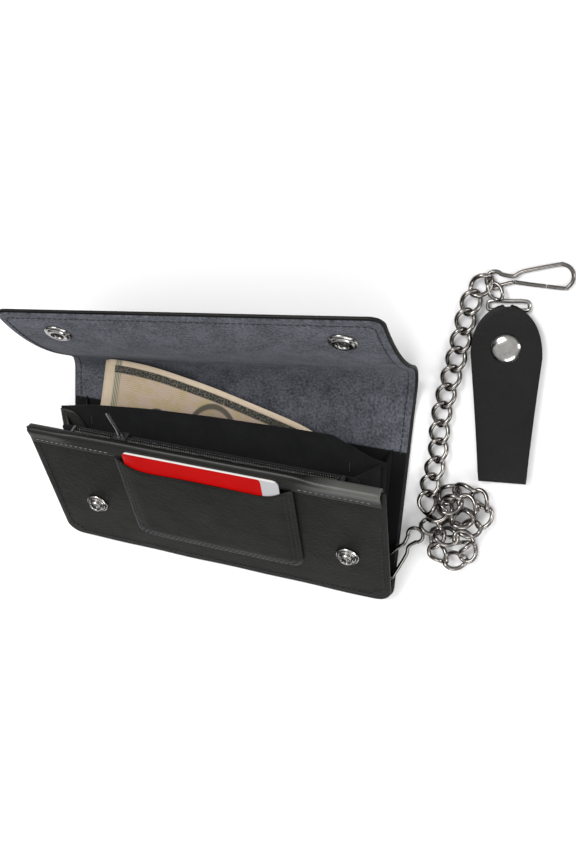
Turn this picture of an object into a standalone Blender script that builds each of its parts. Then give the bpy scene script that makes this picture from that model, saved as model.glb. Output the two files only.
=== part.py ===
"""Chain wallet: a long leather wallet lying open on its back, with a chain, two wire hooks and a belt fob.

Frame: X runs along the wallet's width, Y from its bottom seam to the fold of the flap, Z up from the surface
that the back lies on. The origin is under the middle of the bottom seam.
"""
import math

import bmesh
import bpy
import numpy as np
from mathutils import Matrix, Vector

MM = 0.001
GAP = 0.3 * MM

# Wallet body
WIDTH = 195.6 * MM
LEATHER = 1.3 * MM
LINING = 0.6 * MM
LINING_TOP = LEATHER + GAP + LINING
BACK_LENGTH = 95.1 * MM
SEAM_OVERHANG = 3.0 * MM
CORNER_RADIUS = 6.0 * MM
DARK_LINING_END = 80.0 * MM

# Fold of the flap: a strip that bends up from the back, then the flap itself, which curls outward
FOLD_RADIUS = 23.2 * MM
FLAP_ANGLE = math.radians(76.4)
FOLD_LENGTH = FOLD_RADIUS * FLAP_ANGLE
FLAP_LENGTH = 65.1 * MM
FLAP_CURL = math.radians(-31.9)
FLAP_ROOT_SHIFT = 2.3 * MM
FLAP_EDGE = Vector((1.0, 0.11, 0.02)).normalized()
CLOSED_ROOT = Vector((0.0, 75.0 * MM, 33.0 * MM))
CLOSED_ANGLE = math.radians(208.0)

# Snaps: places across the width, and heights on the flap and on the front
SNAP_X = {"left": -69.8 * MM, "right": 76.0 * MM}
SOCKET_DISTANCE = 47.2 * MM
STUD_HEIGHT = 34.6 * MM

# Front panel, hinged at the bottom seam
FRONT_HINGE = Vector((0.0, -3.5 * MM, 4.9 * MM))
FRONT_ANGLE = math.radians(30.2)
FRONT_HEIGHT = 88.8 * MM
FRONT_CORNER = 12.0 * MM
FACING_HEIGHT = 8.8 * MM
FACING = 0.6 * MM

# Card pocket and card
POCKET_LEFT = -46.8 * MM
POCKET_RIGHT = 51.1 * MM
POCKET_BOTTOM = 16.8 * MM
POCKET_TOP = 81.0 * MM
POCKET_LEATHER = 0.9 * MM
CARD_SIZE = (85.6 * MM, 53.98 * MM, 0.76 * MM)
CARD_LEFT = -41.1 * MM
CARD_TOP = 85.75 * MM
CARD_LIFT = 1.25 * MM

# Zip, in the slot behind the front's top edge
ZIP_LEFT = -73.0 * MM
ZIP_RIGHT = 76.0 * MM
ZIP_HEIGHT = 86.0 * MM
ZIP_CENTRE = -5.9 * MM
ZIP_TAPE = (2.6 * MM, 0.6 * MM)
TOOTH_PITCH = 2.5 * MM
SLIDER_X = -44.0 * MM
PULL_LEAN = math.radians(15.0)

# Wall of the coin pocket and partition in front of the bill compartment
COIN_WALL_HALF = 82.0 * MM
COIN_WALL_FOOT = (10.0 * MM, -3.4 * MM)
COIN_WALL_HEAD = (85.4 * MM, -9.4 * MM)
PARTITION_HINGE = Vector((0.0, -1.5 * MM, 3.2 * MM))
PARTITION_ANGLE = math.radians(15.3)
PARTITION_LENGTH = 84.8 * MM
PARTITION_HALF = 91.3 * MM
PARTITION = 0.9 * MM
# How far the partition's top edge rises over its height at the ends, at places from -1 to 1 across it
PARTITION_RISE = [(-1.0, 0.0), (-0.78, 4.0), (-0.45, 7.0), (0.0, 9.5), (0.45, 11.0), (0.70, 11.2),
                  (0.92, 1.4), (1.0, 0.0)]

# Banknote, leaning in the bill compartment
NOTE_SIZE = (156.0 * MM, 66.0 * MM, 0.12 * MM)
NOTE_CENTRE = Vector((-0.8 * MM, 60.0 * MM, 7.0 * MM))
NOTE_TURN = math.radians(-10.8)
NOTE_LEAN = math.radians(5.0)

# Chain and what is on it
CHAIN = 10.5 * MM
HEAP_CENTRE = Vector((127.5 * MM, 47.0 * MM, 0.0))
HEAP_HALF = (15.5 * MM, 23.5 * MM)
HEAP_HEIGHT = 12.0 * MM
WIRE = 1.7 * MM

# Belt fob: a strap folded at its lower end, over a ring at its upper end
FOB_TOP = Vector((136.4 * MM, 160.4 * MM, 0.0))
FOB_FOLD = Vector((145.6 * MM, 73.6 * MM, 0.0))
FOB_LEATHER = 2.3 * MM
FOB_GAP = 1.0 * MM
FOB_WIDEST = 16.5 * MM
FOB_NARROWEST = 11.4 * MM

BLACK = (0.012, 0.012, 0.012)
SUEDE = (0.10, 0.105, 0.13)
NICKEL = (0.72, 0.70, 0.68)

parts = bpy.data.collections.new("chain_wallet")
cutters = bpy.data.collections.new("cutters")


def material(name, colour, roughness, metallic=0.0):
    made = bpy.data.materials.new(name)
    made.use_nodes = True
    shader = made.node_tree.nodes["Principled BSDF"]
    shader.inputs["Base Color"].default_value = (*colour, 1.0)
    shader.inputs["Roughness"].default_value = roughness
    shader.inputs["Metallic"].default_value = metallic
    return made


def leather(name):
    return material(name, BLACK, 0.45)


def nickel(name):
    return material(name, NICKEL, 0.25, 1.0)


def add(name, data, look, place=None, collection=parts):
    """A named object with its own material, at its place."""
    obj = bpy.data.objects.new(name, data)
    collection.objects.link(obj)
    if look is not None:
        obj.data.materials.append(look)
    if place is not None:
        obj.matrix_world = place
    return obj


def frame(point, angle):
    """Where a panel's things are: origin on its hinge line, local Y up the panel and Z out of its face."""
    return Matrix.Translation(point) @ Matrix.Rotation(angle, 4, "X")


def rounded(left, right, low, high, radii, steps=5):
    """A rectangle with round corners: radii at lower left, lower right, upper right, upper left."""
    corners = [(left, low, 180), (right, low, 270), (right, high, 0), (left, high, 90)]
    outline = []
    for (x, y, start), radius in zip(corners, radii):
        cx = x + (radius if x == left else -radius)
        cy = y + (radius if y == low else -radius)
        for i in range(steps + 1):
            a = math.radians(start + 90 * i / steps)
            outline.append((cx + radius * math.cos(a), cy + radius * math.sin(a)))
    return outline


def circle(x, y, radius, sides=24):
    turns = [2 * math.pi * i / sides for i in range(sides)]
    return [(x + radius * math.cos(a), y + radius * math.sin(a)) for a in turns]


def plate(name, outlines, bottom, thickness, look, place):
    """A flat piece with holes: the first outline is its edge and the others are its holes."""
    curve = bpy.data.curves.new(name, "CURVE")
    curve.dimensions = "2D"
    curve.fill_mode = "BOTH"
    curve.extrude = thickness / 2
    for outline in outlines:
        spline = curve.splines.new("POLY")
        spline.points.add(len(outline) - 1)
        for point, (x, y) in zip(spline.points, outline):
            point.co = (x, y, 0.0, 1.0)
        spline.use_cyclic_u = True
    return add(name, curve, look, place @ Matrix.Translation((0, 0, bottom + thickness / 2)))


def turned(name, profile, look, place, steps=24):
    """A turned piece: a profile of (radius, height) from top to bottom, around local Z."""
    mesh = bpy.data.meshes.new(name)
    points = [(radius, 0.0, height) for radius, height in profile]
    closed = profile[0][0] > 0
    edges = [(i, i + 1) for i in range(len(points) - 1)]
    if closed:
        edges.append((len(points) - 1, 0))
    mesh.from_pydata(points, edges, [])
    obj = add(name, mesh, look, place)
    screw = obj.modifiers.new("turn", "SCREW")
    screw.steps = steps
    screw.render_steps = steps
    screw.use_merge_vertices = True
    screw.merge_threshold = 0.001 * MM
    screw.use_smooth_shade = False
    return obj


def wire(name, points, diameter, look, cyclic=False, resolution=2):
    """A round wire or tube along points in the wallet's frame."""
    curve = bpy.data.curves.new(name, "CURVE")
    curve.dimensions = "3D"
    curve.bevel_depth = diameter / 2
    curve.bevel_resolution = resolution
    curve.use_fill_caps = not cyclic
    spline = curve.splines.new("POLY")
    spline.points.add(len(points) - 1)
    for point, at in zip(spline.points, points):
        point.co = (*at, 1.0)
    spline.use_cyclic_u = cyclic
    return add(name, curve, look)


def smooth(points, step):
    """Evenly spaced points on a smooth curve through the given ones."""
    given = [Vector(p) for p in points]
    ends = [2 * given[0] - given[1], *given, 2 * given[-1] - given[-2]]
    fine = []
    for a, b, c, d in zip(ends, ends[1:], ends[2:], ends[3:]):
        for i in range(12):
            t = i / 12
            fine.append(0.5 * (2 * b + (c - a) * t + (2 * a - 5 * b + 4 * c - d) * t * t
                               + (3 * b - a - 3 * c + d) * t ** 3))
    fine.append(given[-1])
    along = np.concatenate([[0], np.cumsum([(q - p).length for p, q in zip(fine, fine[1:])])])
    at = np.linspace(0, along[-1], max(2, round(along[-1] / step)) + 1)
    return [Vector(np.interp(at, along, [p[k] for p in fine])[i] for k in range(3)) for i in range(len(at))]


def bent_sheet(name, surface, across, along, middle, thickness, look, origin=Vector()):
    """A sheet of even thickness: a grid laid on surface(u, v, lift), u and v from 0 to 1."""
    bm = bmesh.new()
    bmesh.ops.create_grid(bm, x_segments=across, y_segments=along, size=0.5)
    for vert in bm.verts:
        vert.co = surface(vert.co.x + 0.5, vert.co.y + 0.5, middle) - origin
    mesh = bpy.data.meshes.new(name)
    bm.to_mesh(mesh)
    bm.free()
    obj = add(name, mesh, look, Matrix.Translation(origin))
    solid = obj.modifiers.new("thickness", "SOLIDIFY")
    solid.thickness = thickness
    solid.offset = 0.0
    solid.use_even_offset = True
    return obj


def bored(obj, places, radius, depth):
    """Cuts a round hole at each place, along its local Z."""
    for i, place in enumerate(places):
        bm = bmesh.new()
        bmesh.ops.create_cone(bm, cap_ends=True, segments=20, radius1=radius, radius2=radius, depth=depth)
        mesh = bpy.data.meshes.new(f"{obj.name}_bore_{i}")
        bm.to_mesh(mesh)
        bm.free()
        cutter = add(mesh.name, mesh, None, place, cutters)
        cutter.hide_render = True
        cutter.display_type = "WIRE"
        cut = obj.modifiers.new(f"bore_{i}", "BOOLEAN")
        cut.object = cutter
        cut.operation = "DIFFERENCE"


# The flap's own frame when it stands open, and when it is closed: across, along and out of its lined face

def panel_axes(across, angle):
    along = Vector((0.0, math.cos(angle), math.sin(angle)))
    along = (along - across * along.dot(across)).normalized()
    return across, along, across.cross(along)


OPEN_ACROSS, OPEN_ALONG, OPEN_OUT = panel_axes(FLAP_EDGE, FLAP_ANGLE)
FLAP_ROOT = Vector((
    FLAP_ROOT_SHIFT,
    BACK_LENGTH + FOLD_RADIUS * math.sin(FLAP_ANGLE),
    LINING_TOP + FOLD_RADIUS * (1 - math.cos(FLAP_ANGLE)),
))


def flap_frame(distance):
    """The point of the lined face that far from the flap's root, and the directions along and out of it."""
    steps = 24
    point = FLAP_ROOT.copy()
    for i in range(steps):
        turn = FLAP_CURL * (i + 0.5) / steps * distance / FLAP_LENGTH
        point += (OPEN_ALONG * math.cos(turn) + OPEN_OUT * math.sin(turn)) * distance / steps
    turn = FLAP_CURL * distance / FLAP_LENGTH
    along = OPEN_ALONG * math.cos(turn) + OPEN_OUT * math.sin(turn)
    out = OPEN_OUT * math.cos(turn) - OPEN_ALONG * math.sin(turn)
    return point, along, out


def flap_axis():
    """A point on the flap's hinge line, and the line's direction, which is tilted as the fold is."""
    closed = panel_axes(Vector((1.0, 0.0, 0.0)), CLOSED_ANGLE)
    opened = (OPEN_ACROSS, OPEN_ALONG, OPEN_OUT)
    turn = Matrix(closed).transposed() @ Matrix(opened)
    axis, angle = turn.to_quaternion().to_axis_angle()
    if axis.x < 0:
        axis, angle = -axis, -angle
    travel = CLOSED_ROOT - FLAP_ROOT
    travel -= axis * travel.dot(axis)
    middle = FLAP_ROOT + travel / 2
    return middle + axis.cross(travel) / (2 * math.tan(angle / 2)), axis, angle


FLAP_HINGE, FLAP_HINGE_AXIS, FLAP_TRAVEL = flap_axis()
FLAP_HINGE -= FLAP_HINGE_AXIS * (FLAP_HINGE.x / FLAP_HINGE_AXIS.x)


def flap_surface(start, end):
    """The flap between two distances from its root, with its two tip corners rounded."""
    def surface(u, v, lift):
        distance = start + (end - start) * v
        point, _, out = flap_frame(distance)
        to_tip = max(0.0, CORNER_RADIUS - (FLAP_LENGTH - distance))
        inset = CORNER_RADIUS - math.sqrt(max(0.0, CORNER_RADIUS ** 2 - to_tip ** 2))
        return point + OPEN_ACROSS * (u - 0.5) * 2 * (WIDTH / 2 - inset) + out * lift
    return surface


def fold_surface(u, v, lift):
    """The strip between the back and the flap: a smooth loft from the flat edge to the flap's tilted root."""
    x = (u - 0.5) * WIDTH
    start, end = Vector((x, BACK_LENGTH, LINING_TOP)), FLAP_ROOT + OPEN_ACROSS * x
    reach = (end - start).length * 1.1
    leave, arrive = Vector((0.0, reach, 0.0)), OPEN_ALONG * reach
    margin = GAP / FOLD_LENGTH
    t = margin + (1 - 2 * margin) * v
    point = ((2 * t ** 3 - 3 * t ** 2 + 1) * start + (t ** 3 - 2 * t ** 2 + t) * leave
             + (3 * t ** 2 - 2 * t ** 3) * end + (t ** 3 - t ** 2) * arrive)
    slope = ((6 * t ** 2 - 6 * t) * start + (3 * t ** 2 - 4 * t + 1) * leave
             + (6 * t - 6 * t ** 2) * end + (3 * t ** 2 - 2 * t) * arrive)
    across = Vector((1.0, 0.0, 0.0)).lerp(OPEN_ACROSS, t)
    return point + across.cross(slope).normalized() * lift


LEATHER_MIDDLE = -(LINING + GAP + LEATHER / 2)
LINING_MIDDLE = -LINING / 2
FLAT = Matrix.Identity(4)
FRONT = frame(FRONT_HINGE, FRONT_ANGLE)
PARTITION_PLACE = frame(PARTITION_HINGE, PARTITION_ANGLE)


def make_back():
    half = WIDTH / 2
    low, high = -SEAM_OVERHANG, BACK_LENGTH - GAP
    radii = (CORNER_RADIUS, CORNER_RADIUS, 0.01 * MM, 0.01 * MM)
    hide = rounded(-half, half, low, high, radii)
    plate("back_leather", [hide], 0.0, LEATHER, leather("back_leather"), FLAT)
    dark = rounded(-half, half, low, DARK_LINING_END, radii)
    plate("back_lining", [dark], LEATHER + GAP, LINING, material("back_lining", BLACK, 0.9), FLAT)
    upper = [(-half, DARK_LINING_END + GAP), (half, DARK_LINING_END + GAP), (half, high), (-half, high)]
    plate("upper_back_lining", [upper], LEATHER + GAP, LINING, material("upper_back_lining", SUEDE, 0.9),
          FLAT)


def make_fold_and_flap():
    bent_sheet("fold_leather", fold_surface, 6, 10, LEATHER_MIDDLE, LEATHER, leather("fold_leather"))
    bent_sheet("fold_lining", fold_surface, 6, 10, LINING_MIDDLE, LINING, material("fold_lining", SUEDE, 0.9))
    surface = flap_surface(GAP, FLAP_LENGTH)
    outer = bent_sheet("flap_leather", surface, 6, 22, LEATHER_MIDDLE, LEATHER, leather("flap_leather"),
                       FLAP_HINGE)
    inner = bent_sheet("flap_lining", surface, 6, 22, LINING_MIDDLE, LINING,
                       material("flap_lining", SUEDE, 0.9), FLAP_HINGE)
    point, along, out = flap_frame(SOCKET_DISTANCE)
    for side, x in SNAP_X.items():
        basis = Matrix((OPEN_ACROSS, along, out)).transposed().to_4x4()
        place = Matrix.Translation(point + OPEN_ACROSS * x) @ basis
        bored(outer, [place], 2.6 * MM, 20 * MM)
        bored(inner, [place], 2.6 * MM, 20 * MM)
        ring = [(3.0, 1.9), (5.6, 1.9), (6.6, 1.2), (7.0, GAP / MM), (3.0, GAP / MM)]
        socket = [(r * MM, z * MM) for r, z in ring]
        turned(f"snap_socket_{side}", socket, nickel(f"snap_socket_{side}"), place)
        shell = -(LINING + LEATHER + 2 * GAP) / MM - 0.3
        cap = [(0, 1.2), (2.2, 1.2), (2.2, shell), (7.2, shell), (7.0, shell - 1.0), (4.6, shell - 2.1),
               (0, shell - 2.5)]
        turned(f"snap_cap_{side}", [(r * MM, z * MM) for r, z in cap], nickel(f"snap_cap_{side}"), place)


def make_front():
    half = WIDTH / 2
    radii = (FRONT_CORNER, FRONT_CORNER, 3 * MM, 3 * MM)
    bores = [circle(x, STUD_HEIGHT, 2.4 * MM) for x in SNAP_X.values()]
    plate("front_leather", [rounded(-half, half, 0, FRONT_HEIGHT, radii), *bores], -LEATHER, LEATHER,
          leather("front_leather"), FRONT)
    lining = rounded(-half + 2 * MM, half - 2 * MM, 10 * MM, FRONT_HEIGHT - 6 * MM, radii)
    plate("front_lining", [lining, *bores], -(LEATHER + GAP + LINING), LINING,
          material("front_lining", BLACK, 0.7), FRONT)
    for side, x in SNAP_X.items():
        place = FRONT @ Matrix.Translation((x, STUD_HEIGHT, 0))
        stud = [(0, 3.6), (2.2, 3.6), (2.9, 2.9), (2.5, 1.9), (2.5, 1.1), (5.6, 1.0), (6.2, GAP / MM),
                (1.9, GAP / MM), (1.9, -3.4), (0, -3.4)]
        turned(f"snap_stud_{side}", [(r * MM, z * MM) for r, z in stud], nickel(f"snap_stud_{side}"), place)
        base = [(2.2, -2.5), (5.4, -2.5), (5.0, -3.2), (2.2, -3.2)]
        turned(f"snap_stud_base_{side}", [(r * MM, z * MM) for r, z in base],
               nickel(f"snap_stud_base_{side}"), place)
    make_facing()
    make_coin_wall()


def make_facing():
    """The strip that is folded over the front's top edge, as its section drawn out across the width."""
    low, top = FRONT_HEIGHT - FACING_HEIGHT, FRONT_HEIGHT + GAP
    outer, inner = GAP + FACING, -(LEATHER + GAP + FACING)
    section = [(low, GAP), (low, outer), (top + FACING, outer), (top + FACING, inner),
               (FRONT_HEIGHT - 5 * MM, inner),
               (FRONT_HEIGHT - 5 * MM, inner + FACING), (top, inner + FACING), (top, GAP)]
    sideways = FRONT @ Matrix(((0, 0, 1, 0), (1, 0, 0, 0), (0, 1, 0, 0), (0, 0, 0, 1)))
    width = WIDTH - 4 * MM
    plate("top_facing", [section], -width / 2, width, leather("top_facing"), sideways)


def make_coin_wall():
    """The rear wall of the zipped coin pocket, which leans away from the front towards the top."""
    (y0, z0), (y1, z1) = COIN_WALL_FOOT, COIN_WALL_HEAD
    lean = math.atan2(z1 - z0, y1 - y0)
    place = FRONT @ Matrix.Translation((0, y0, z0)) @ Matrix.Rotation(lean, 4, "X")
    radii = (CORNER_RADIUS, CORNER_RADIUS, 2 * MM, 2 * MM)
    outline = rounded(-COIN_WALL_HALF, COIN_WALL_HALF, 0, math.hypot(y1 - y0, z1 - z0), radii)
    plate("coin_pocket_wall", [outline], -PARTITION, PARTITION, material("coin_pocket_wall", BLACK, 0.8),
          place)


def make_pocket_and_card():
    high = GAP + FACING + GAP + 1.0 * MM + POCKET_LEATHER
    radii = (FRONT_CORNER * 0.7, FRONT_CORNER * 0.7, 1 * MM, 1 * MM)
    below_facing = FRONT_HEIGHT - FACING_HEIGHT - GAP
    edge = rounded(POCKET_LEFT, POCKET_RIGHT, POCKET_BOTTOM, below_facing, radii)
    slab = plate("card_pocket_slab", [edge], GAP, high - GAP, leather("card_pocket"), FRONT)
    pocket = bpy.data.meshes.new_from_object(slab.evaluated_get(bpy.context.evaluated_depsgraph_get()))
    bm = bmesh.new()
    bm.from_mesh(pocket)
    bmesh.ops.remove_doubles(bm, verts=bm.verts, dist=0.001 * MM)
    bm.to_mesh(pocket)
    bm.free()
    place = slab.matrix_world.copy()
    bpy.data.objects.remove(slab)
    obj = add("card_pocket", pocket, None, place)
    room = bmesh.new()
    bmesh.ops.create_cube(room, size=1.0)
    left, right = CARD_LEFT - 1.2 * MM, CARD_LEFT + CARD_SIZE[0] + 1.2 * MM
    foot, depth = POCKET_BOTTOM + 2.5 * MM, high - POCKET_LEATHER
    bmesh.ops.scale(room, vec=(right - left, 90 * MM, 2 * depth), verts=room.verts)
    bmesh.ops.translate(room, vec=((left + right) / 2, foot + 45 * MM, 0), verts=room.verts)
    mesh = bpy.data.meshes.new("card_room")
    room.to_mesh(mesh)
    room.free()
    cutter = add("card_room", mesh, None, FRONT, cutters)
    cutter.hide_render = True
    cutter.display_type = "WIRE"
    cut = obj.modifiers.new("card_room", "BOOLEAN")
    cut.object = cutter
    cut.operation = "DIFFERENCE"
    corner = 3.2 * MM
    outline = rounded(CARD_LEFT, CARD_LEFT + CARD_SIZE[0], CARD_TOP - CARD_SIZE[1], CARD_TOP, (corner,) * 4)
    plate("bank_card", [outline], CARD_LIFT, CARD_SIZE[2], material("bank_card", (0.55, 0.01, 0.012), 0.3),
          FRONT)


def make_zip():
    """Two tapes with a comb of teeth each, the stops, the slider and its pull; local Y is out of the zip."""
    across = Matrix(((1, 0, 0, 0), (0, 0, 1, ZIP_HEIGHT), (0, -1, 0, ZIP_CENTRE), (0, 0, 0, 1)))
    place = FRONT @ across
    width, thick = ZIP_TAPE
    inner = 0.5 * MM
    for side, sign in (("front", -1), ("rear", 1)):
        tape = [(ZIP_LEFT, sign * inner), (ZIP_RIGHT, sign * inner), (ZIP_RIGHT, sign * (inner + width)),
                (ZIP_LEFT, sign * (inner + width))]
        plate(f"zip_tape_{side}", [tape], 0, thick, material(f"zip_tape_{side}", BLACK, 0.9), place)
        comb = [(ZIP_RIGHT - 2 * MM, sign * 2.0 * MM), (ZIP_LEFT + 2 * MM, sign * 2.0 * MM)]
        teeth = int((ZIP_RIGHT - ZIP_LEFT - 4 * MM) / TOOTH_PITCH)
        for i in range(teeth):
            x = ZIP_LEFT + 2 * MM + i * TOOTH_PITCH
            for dx, dy in ((0.0, 1.3), (0.35, 1.3), (0.35, 0.5), (0.65, 0.5), (0.65, 1.3)):
                comb.append((x + dx * TOOTH_PITCH, sign * dy * MM))
        comb.append((ZIP_RIGHT - 2 * MM, sign * 1.3 * MM))
        plate(f"zip_teeth_{side}", [comb], thick + GAP, 1.1 * MM,
              material(f"zip_teeth_{side}", (0.03, 0.03, 0.03), 0.35), place)
    for side, x in (("left", ZIP_LEFT + 0.9 * MM), ("right", ZIP_RIGHT - 0.9 * MM)):
        stop = rounded(x - 0.7 * MM, x + 0.7 * MM, -2.2 * MM, 2.2 * MM, (0.3 * MM,) * 4, 2)
        plate(f"zip_stop_{side}", [stop], thick + GAP, 1.3 * MM, nickel(f"zip_stop_{side}"), place)
    slider = [(-2.9, -1.1), (-2.9, -0.4), (-0.2, -0.4), (-0.2, 2.4), (-2.9, 2.4), (-2.9, 3.2), (2.9, 3.2),
              (2.9, 2.4), (0.2, 2.4), (0.2, -0.4), (2.9, -0.4), (2.9, -1.1)]
    bore = circle(0, 4.6, 0.75, 10)
    ear = [(-1.9, 3.2 + 0.3), (1.9, 3.5), (1.2, 5.9), (-1.2, 5.9)]
    section = FRONT @ Matrix(((0, 0, 1, SLIDER_X), (0, 1, 0, ZIP_HEIGHT), (-1, 0, 0, ZIP_CENTRE),
                              (0, 0, 0, 1)))
    body = [(a * MM, b * MM) for a, b in slider]
    plate("zip_slider", [body], -4.0 * MM, 8.0 * MM, nickel("zip_slider"), section)
    bridge = FRONT @ Matrix(((1, 0, 0, SLIDER_X), (0, 1, 0, ZIP_HEIGHT), (0, 0, 1, ZIP_CENTRE), (0, 0, 0, 1)))
    plate("zip_bridge", [[(a * MM, b * MM) for a, b in ear], [(a * MM, b * MM) for a, b in bore]], -0.45 * MM,
          0.9 * MM, nickel("zip_bridge"), bridge)
    pivot = Vector((SLIDER_X, ZIP_HEIGHT + 4.6 * MM, ZIP_CENTRE))
    lean = FRONT @ Matrix.Translation(pivot) @ Matrix.Rotation(PULL_LEAN, 4, "Z")
    make_pull(lean)


def make_pull(place):
    """The pull: a wire loop through the slider's bridge, drawn out to a long narrow tab."""
    curve = bpy.data.curves.new("zip_pull", "CURVE")
    curve.dimensions = "3D"
    curve.bevel_depth = 0.5 * MM
    curve.bevel_resolution = 1
    half, length = 1.5 * MM, 14.6 * MM
    loop = [(0, -half), (0, half), (2.0 * MM, half), (length - 1.5 * MM, half * 0.8), (length, half * 0.4),
            (length, -half * 0.4), (length - 1.5 * MM, -half * 0.8), (2.0 * MM, -half)]
    spline = curve.splines.new("POLY")
    spline.points.add(len(loop) - 1)
    for point, (y, z) in zip(spline.points, loop):
        point.co = (0.0, y, z, 1.0)
    spline.use_cyclic_u = True
    add("zip_pull", curve, nickel("zip_pull"), place)


def make_partition_and_gussets():
    top = [(PARTITION_HALF * x, PARTITION_LENGTH + rise * MM) for x, rise in PARTITION_RISE]
    outline = [(-PARTITION_HALF, 3 * MM), (PARTITION_HALF, 3 * MM), *reversed(top)]
    plate("partition", [outline], -PARTITION, PARTITION, material("partition", BLACK, 0.9), PARTITION_PLACE)
    for side, sign in (("left", -1), ("right", 1)):
        upright = Matrix(((0, 0, 1, 0), (1, 0, 0, 0), (0, 1, 0, 0), (0, 0, 0, 1)))
        thick = 0.8 * MM
        x = sign * 86.5 * MM - thick / 2
        plate(f"coin_gusset_{side}",
              [wedge(FRONT, -(LEATHER + LINING + 2 * GAP), 82 * MM, PARTITION_PLACE, GAP,
                                            83 * MM)], x, thick, leather(f"coin_gusset_{side}"), upright)
        flat = Matrix.Translation((0, 0, LINING_TOP))
        leaf = wedge(PARTITION_PLACE, -(PARTITION + GAP), 82 * MM, flat, GAP, 82 * MM)
        plate(f"bill_gusset_{side}", [leaf], x, thick, leather(f"bill_gusset_{side}"), upright)


def wedge(upper, upper_lift, upper_reach, lower, lower_lift, lower_reach):
    """The outline, in Y and Z, of a gusset leaf between two panels, with a hollow top edge."""
    start = 22 * MM
    corners = [(lower, start, lower_lift), (lower, lower_reach, lower_lift), (upper, upper_reach, upper_lift),
               (upper, start, upper_lift)]
    a, b, c, d = [(m @ Vector((0, reach, lift))).yz for m, reach, lift in corners]
    dip = (a + d) / 2
    top = []
    for i in range(1, 8):
        t = i / 8
        middle = b.lerp(c, 0.5).lerp(dip, 0.32)
        top.append(b * (1 - t) ** 2 + middle * 2 * t * (1 - t) + c * t * t)
    return [tuple(p) for p in (a, b, *top, c, d)]


def make_note():
    place = (Matrix.Translation(NOTE_CENTRE) @ Matrix.Rotation(NOTE_LEAN, 4, "X")
             @ Matrix.Rotation(NOTE_TURN, 4, "Z"))
    long, tall, thick = NOTE_SIZE
    outline = [(-long / 2, -tall / 2), (long / 2, -tall / 2), (long / 2, tall / 2), (-long / 2, tall / 2)]
    plate("banknote", [outline], -thick / 2, thick, material("banknote", (0.62, 0.55, 0.40), 0.8), place)


def make_chain_tab():
    """A leather keeper sewn down near the lower right corner, arched over the wire of the chain's hook."""
    along = Vector((0.972, 0.236, 0.0)).normalized()
    side = Vector((0, 0, 1)).cross(along)
    axes = Matrix((side, Vector((0, 0, 1)), side.cross(Vector((0, 0, 1))))).transposed().to_4x4()
    place = Matrix.Translation(TAB_AT) @ axes
    arch = [(-2.7, 0.0), (-1.6, 0.0), (-1.4, 2.0), (1.4, 2.0), (1.6, 0.0), (2.7, 0.0), (2.5, 0.8), (1.9, 2.4),
            (-1.9, 2.4), (-2.5, 0.8)]
    keeper = [(x * MM, y * MM) for x, y in arch]
    plate("chain_tab", [keeper], -1.6 * MM, 3.2 * MM, leather("chain_tab"), place)


def hook_points(length, wide, eye, steps=12):
    """A wire spring hook in its plane, from the latch round the wide end to the eye and back to the neck."""
    arc = [math.radians(-70 + 140 * i / steps) for i in range(steps + 1)]
    wide_end = [(length - wide / 2 + wide / 2 * math.cos(a), wide / 2 * math.sin(a)) for a in arc]
    neck = 0.32 * length
    turn = [math.radians(40 + 280 * i / steps) for i in range(steps + 1)]
    eye_end = [(eye / 2 + eye / 2 * math.cos(a), eye / 2 * math.sin(a)) for a in turn]
    return [(0.70 * length, -wide * 0.36), *wide_end, (neck, 1.4 * MM), *eye_end, (neck, -1.4 * MM)]


def make_hook(name, place, length, wide, eye):
    """The bent wire, and the arm that springs inwards to open it, which latches beside the wire's end."""
    wire_points = [place @ Vector((x, y, 0.0)) for x, y in hook_points(length, wide, eye)]
    wire(f"{name}_wire", wire_points, WIRE, nickel(f"{name}_wire"))
    root, tip = Vector((0.345 * length, -1.5 * MM, 0.0)), Vector((0.66 * length, -wide * 0.33, 0.0))
    wire(f"{name}_arm", [place @ root, place @ root.lerp(tip, 0.5), place @ tip], WIRE, nickel(f"{name}_arm"))


HOOK_A_EYE = Vector((108.5 * MM, 41.5 * MM, 6.0 * MM))
HOOK_A_END = Vector((89.2 * MM, 9.8 * MM, 3.08 * MM))
HOOK_B_EYE = Vector((124.6 * MM, 171.0 * MM, 1.2 * MM))
HOOK_B_END = Vector((163.6 * MM, 177.4 * MM, 1.2 * MM))
HOOK_WIDTH = 11.5 * MM
HOOK_EYE = 8.0 * MM
TAB_AT = Vector((93.65 * MM, 9.1 * MM, LINING_TOP + 0.05 * MM))


def make_hooks():
    for name, start, end in (("hook_a", HOOK_A_EYE, HOOK_A_END), ("hook_b", HOOK_B_EYE, HOOK_B_END)):
        along = (end - start).normalized()
        side = Vector((0, 0, 1)).cross(along).normalized()
        place = Matrix.Translation(start) @ Matrix((along, side, along.cross(side))).transposed().to_4x4()
        make_hook(name, place, (end - start).length, HOOK_WIDTH, HOOK_EYE)


# The stretch of chain that isn't heaped, from the heap's upper edge to the fob's ring
CHAIN_RUN = [
    (110.3, 66.0), (110.9, 70.0), (111.9, 77.5), (112.2, 85.0), (111.8, 92.5), (111.6, 101.0), (112.3, 110.0),
    (113.4, 118.8), (114.8, 128.0), (116.0, 137.4), (117.0, 146.0), (117.6, 152.5),
    (118.6, 158.5), (120.0, 163.4),
]


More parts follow.
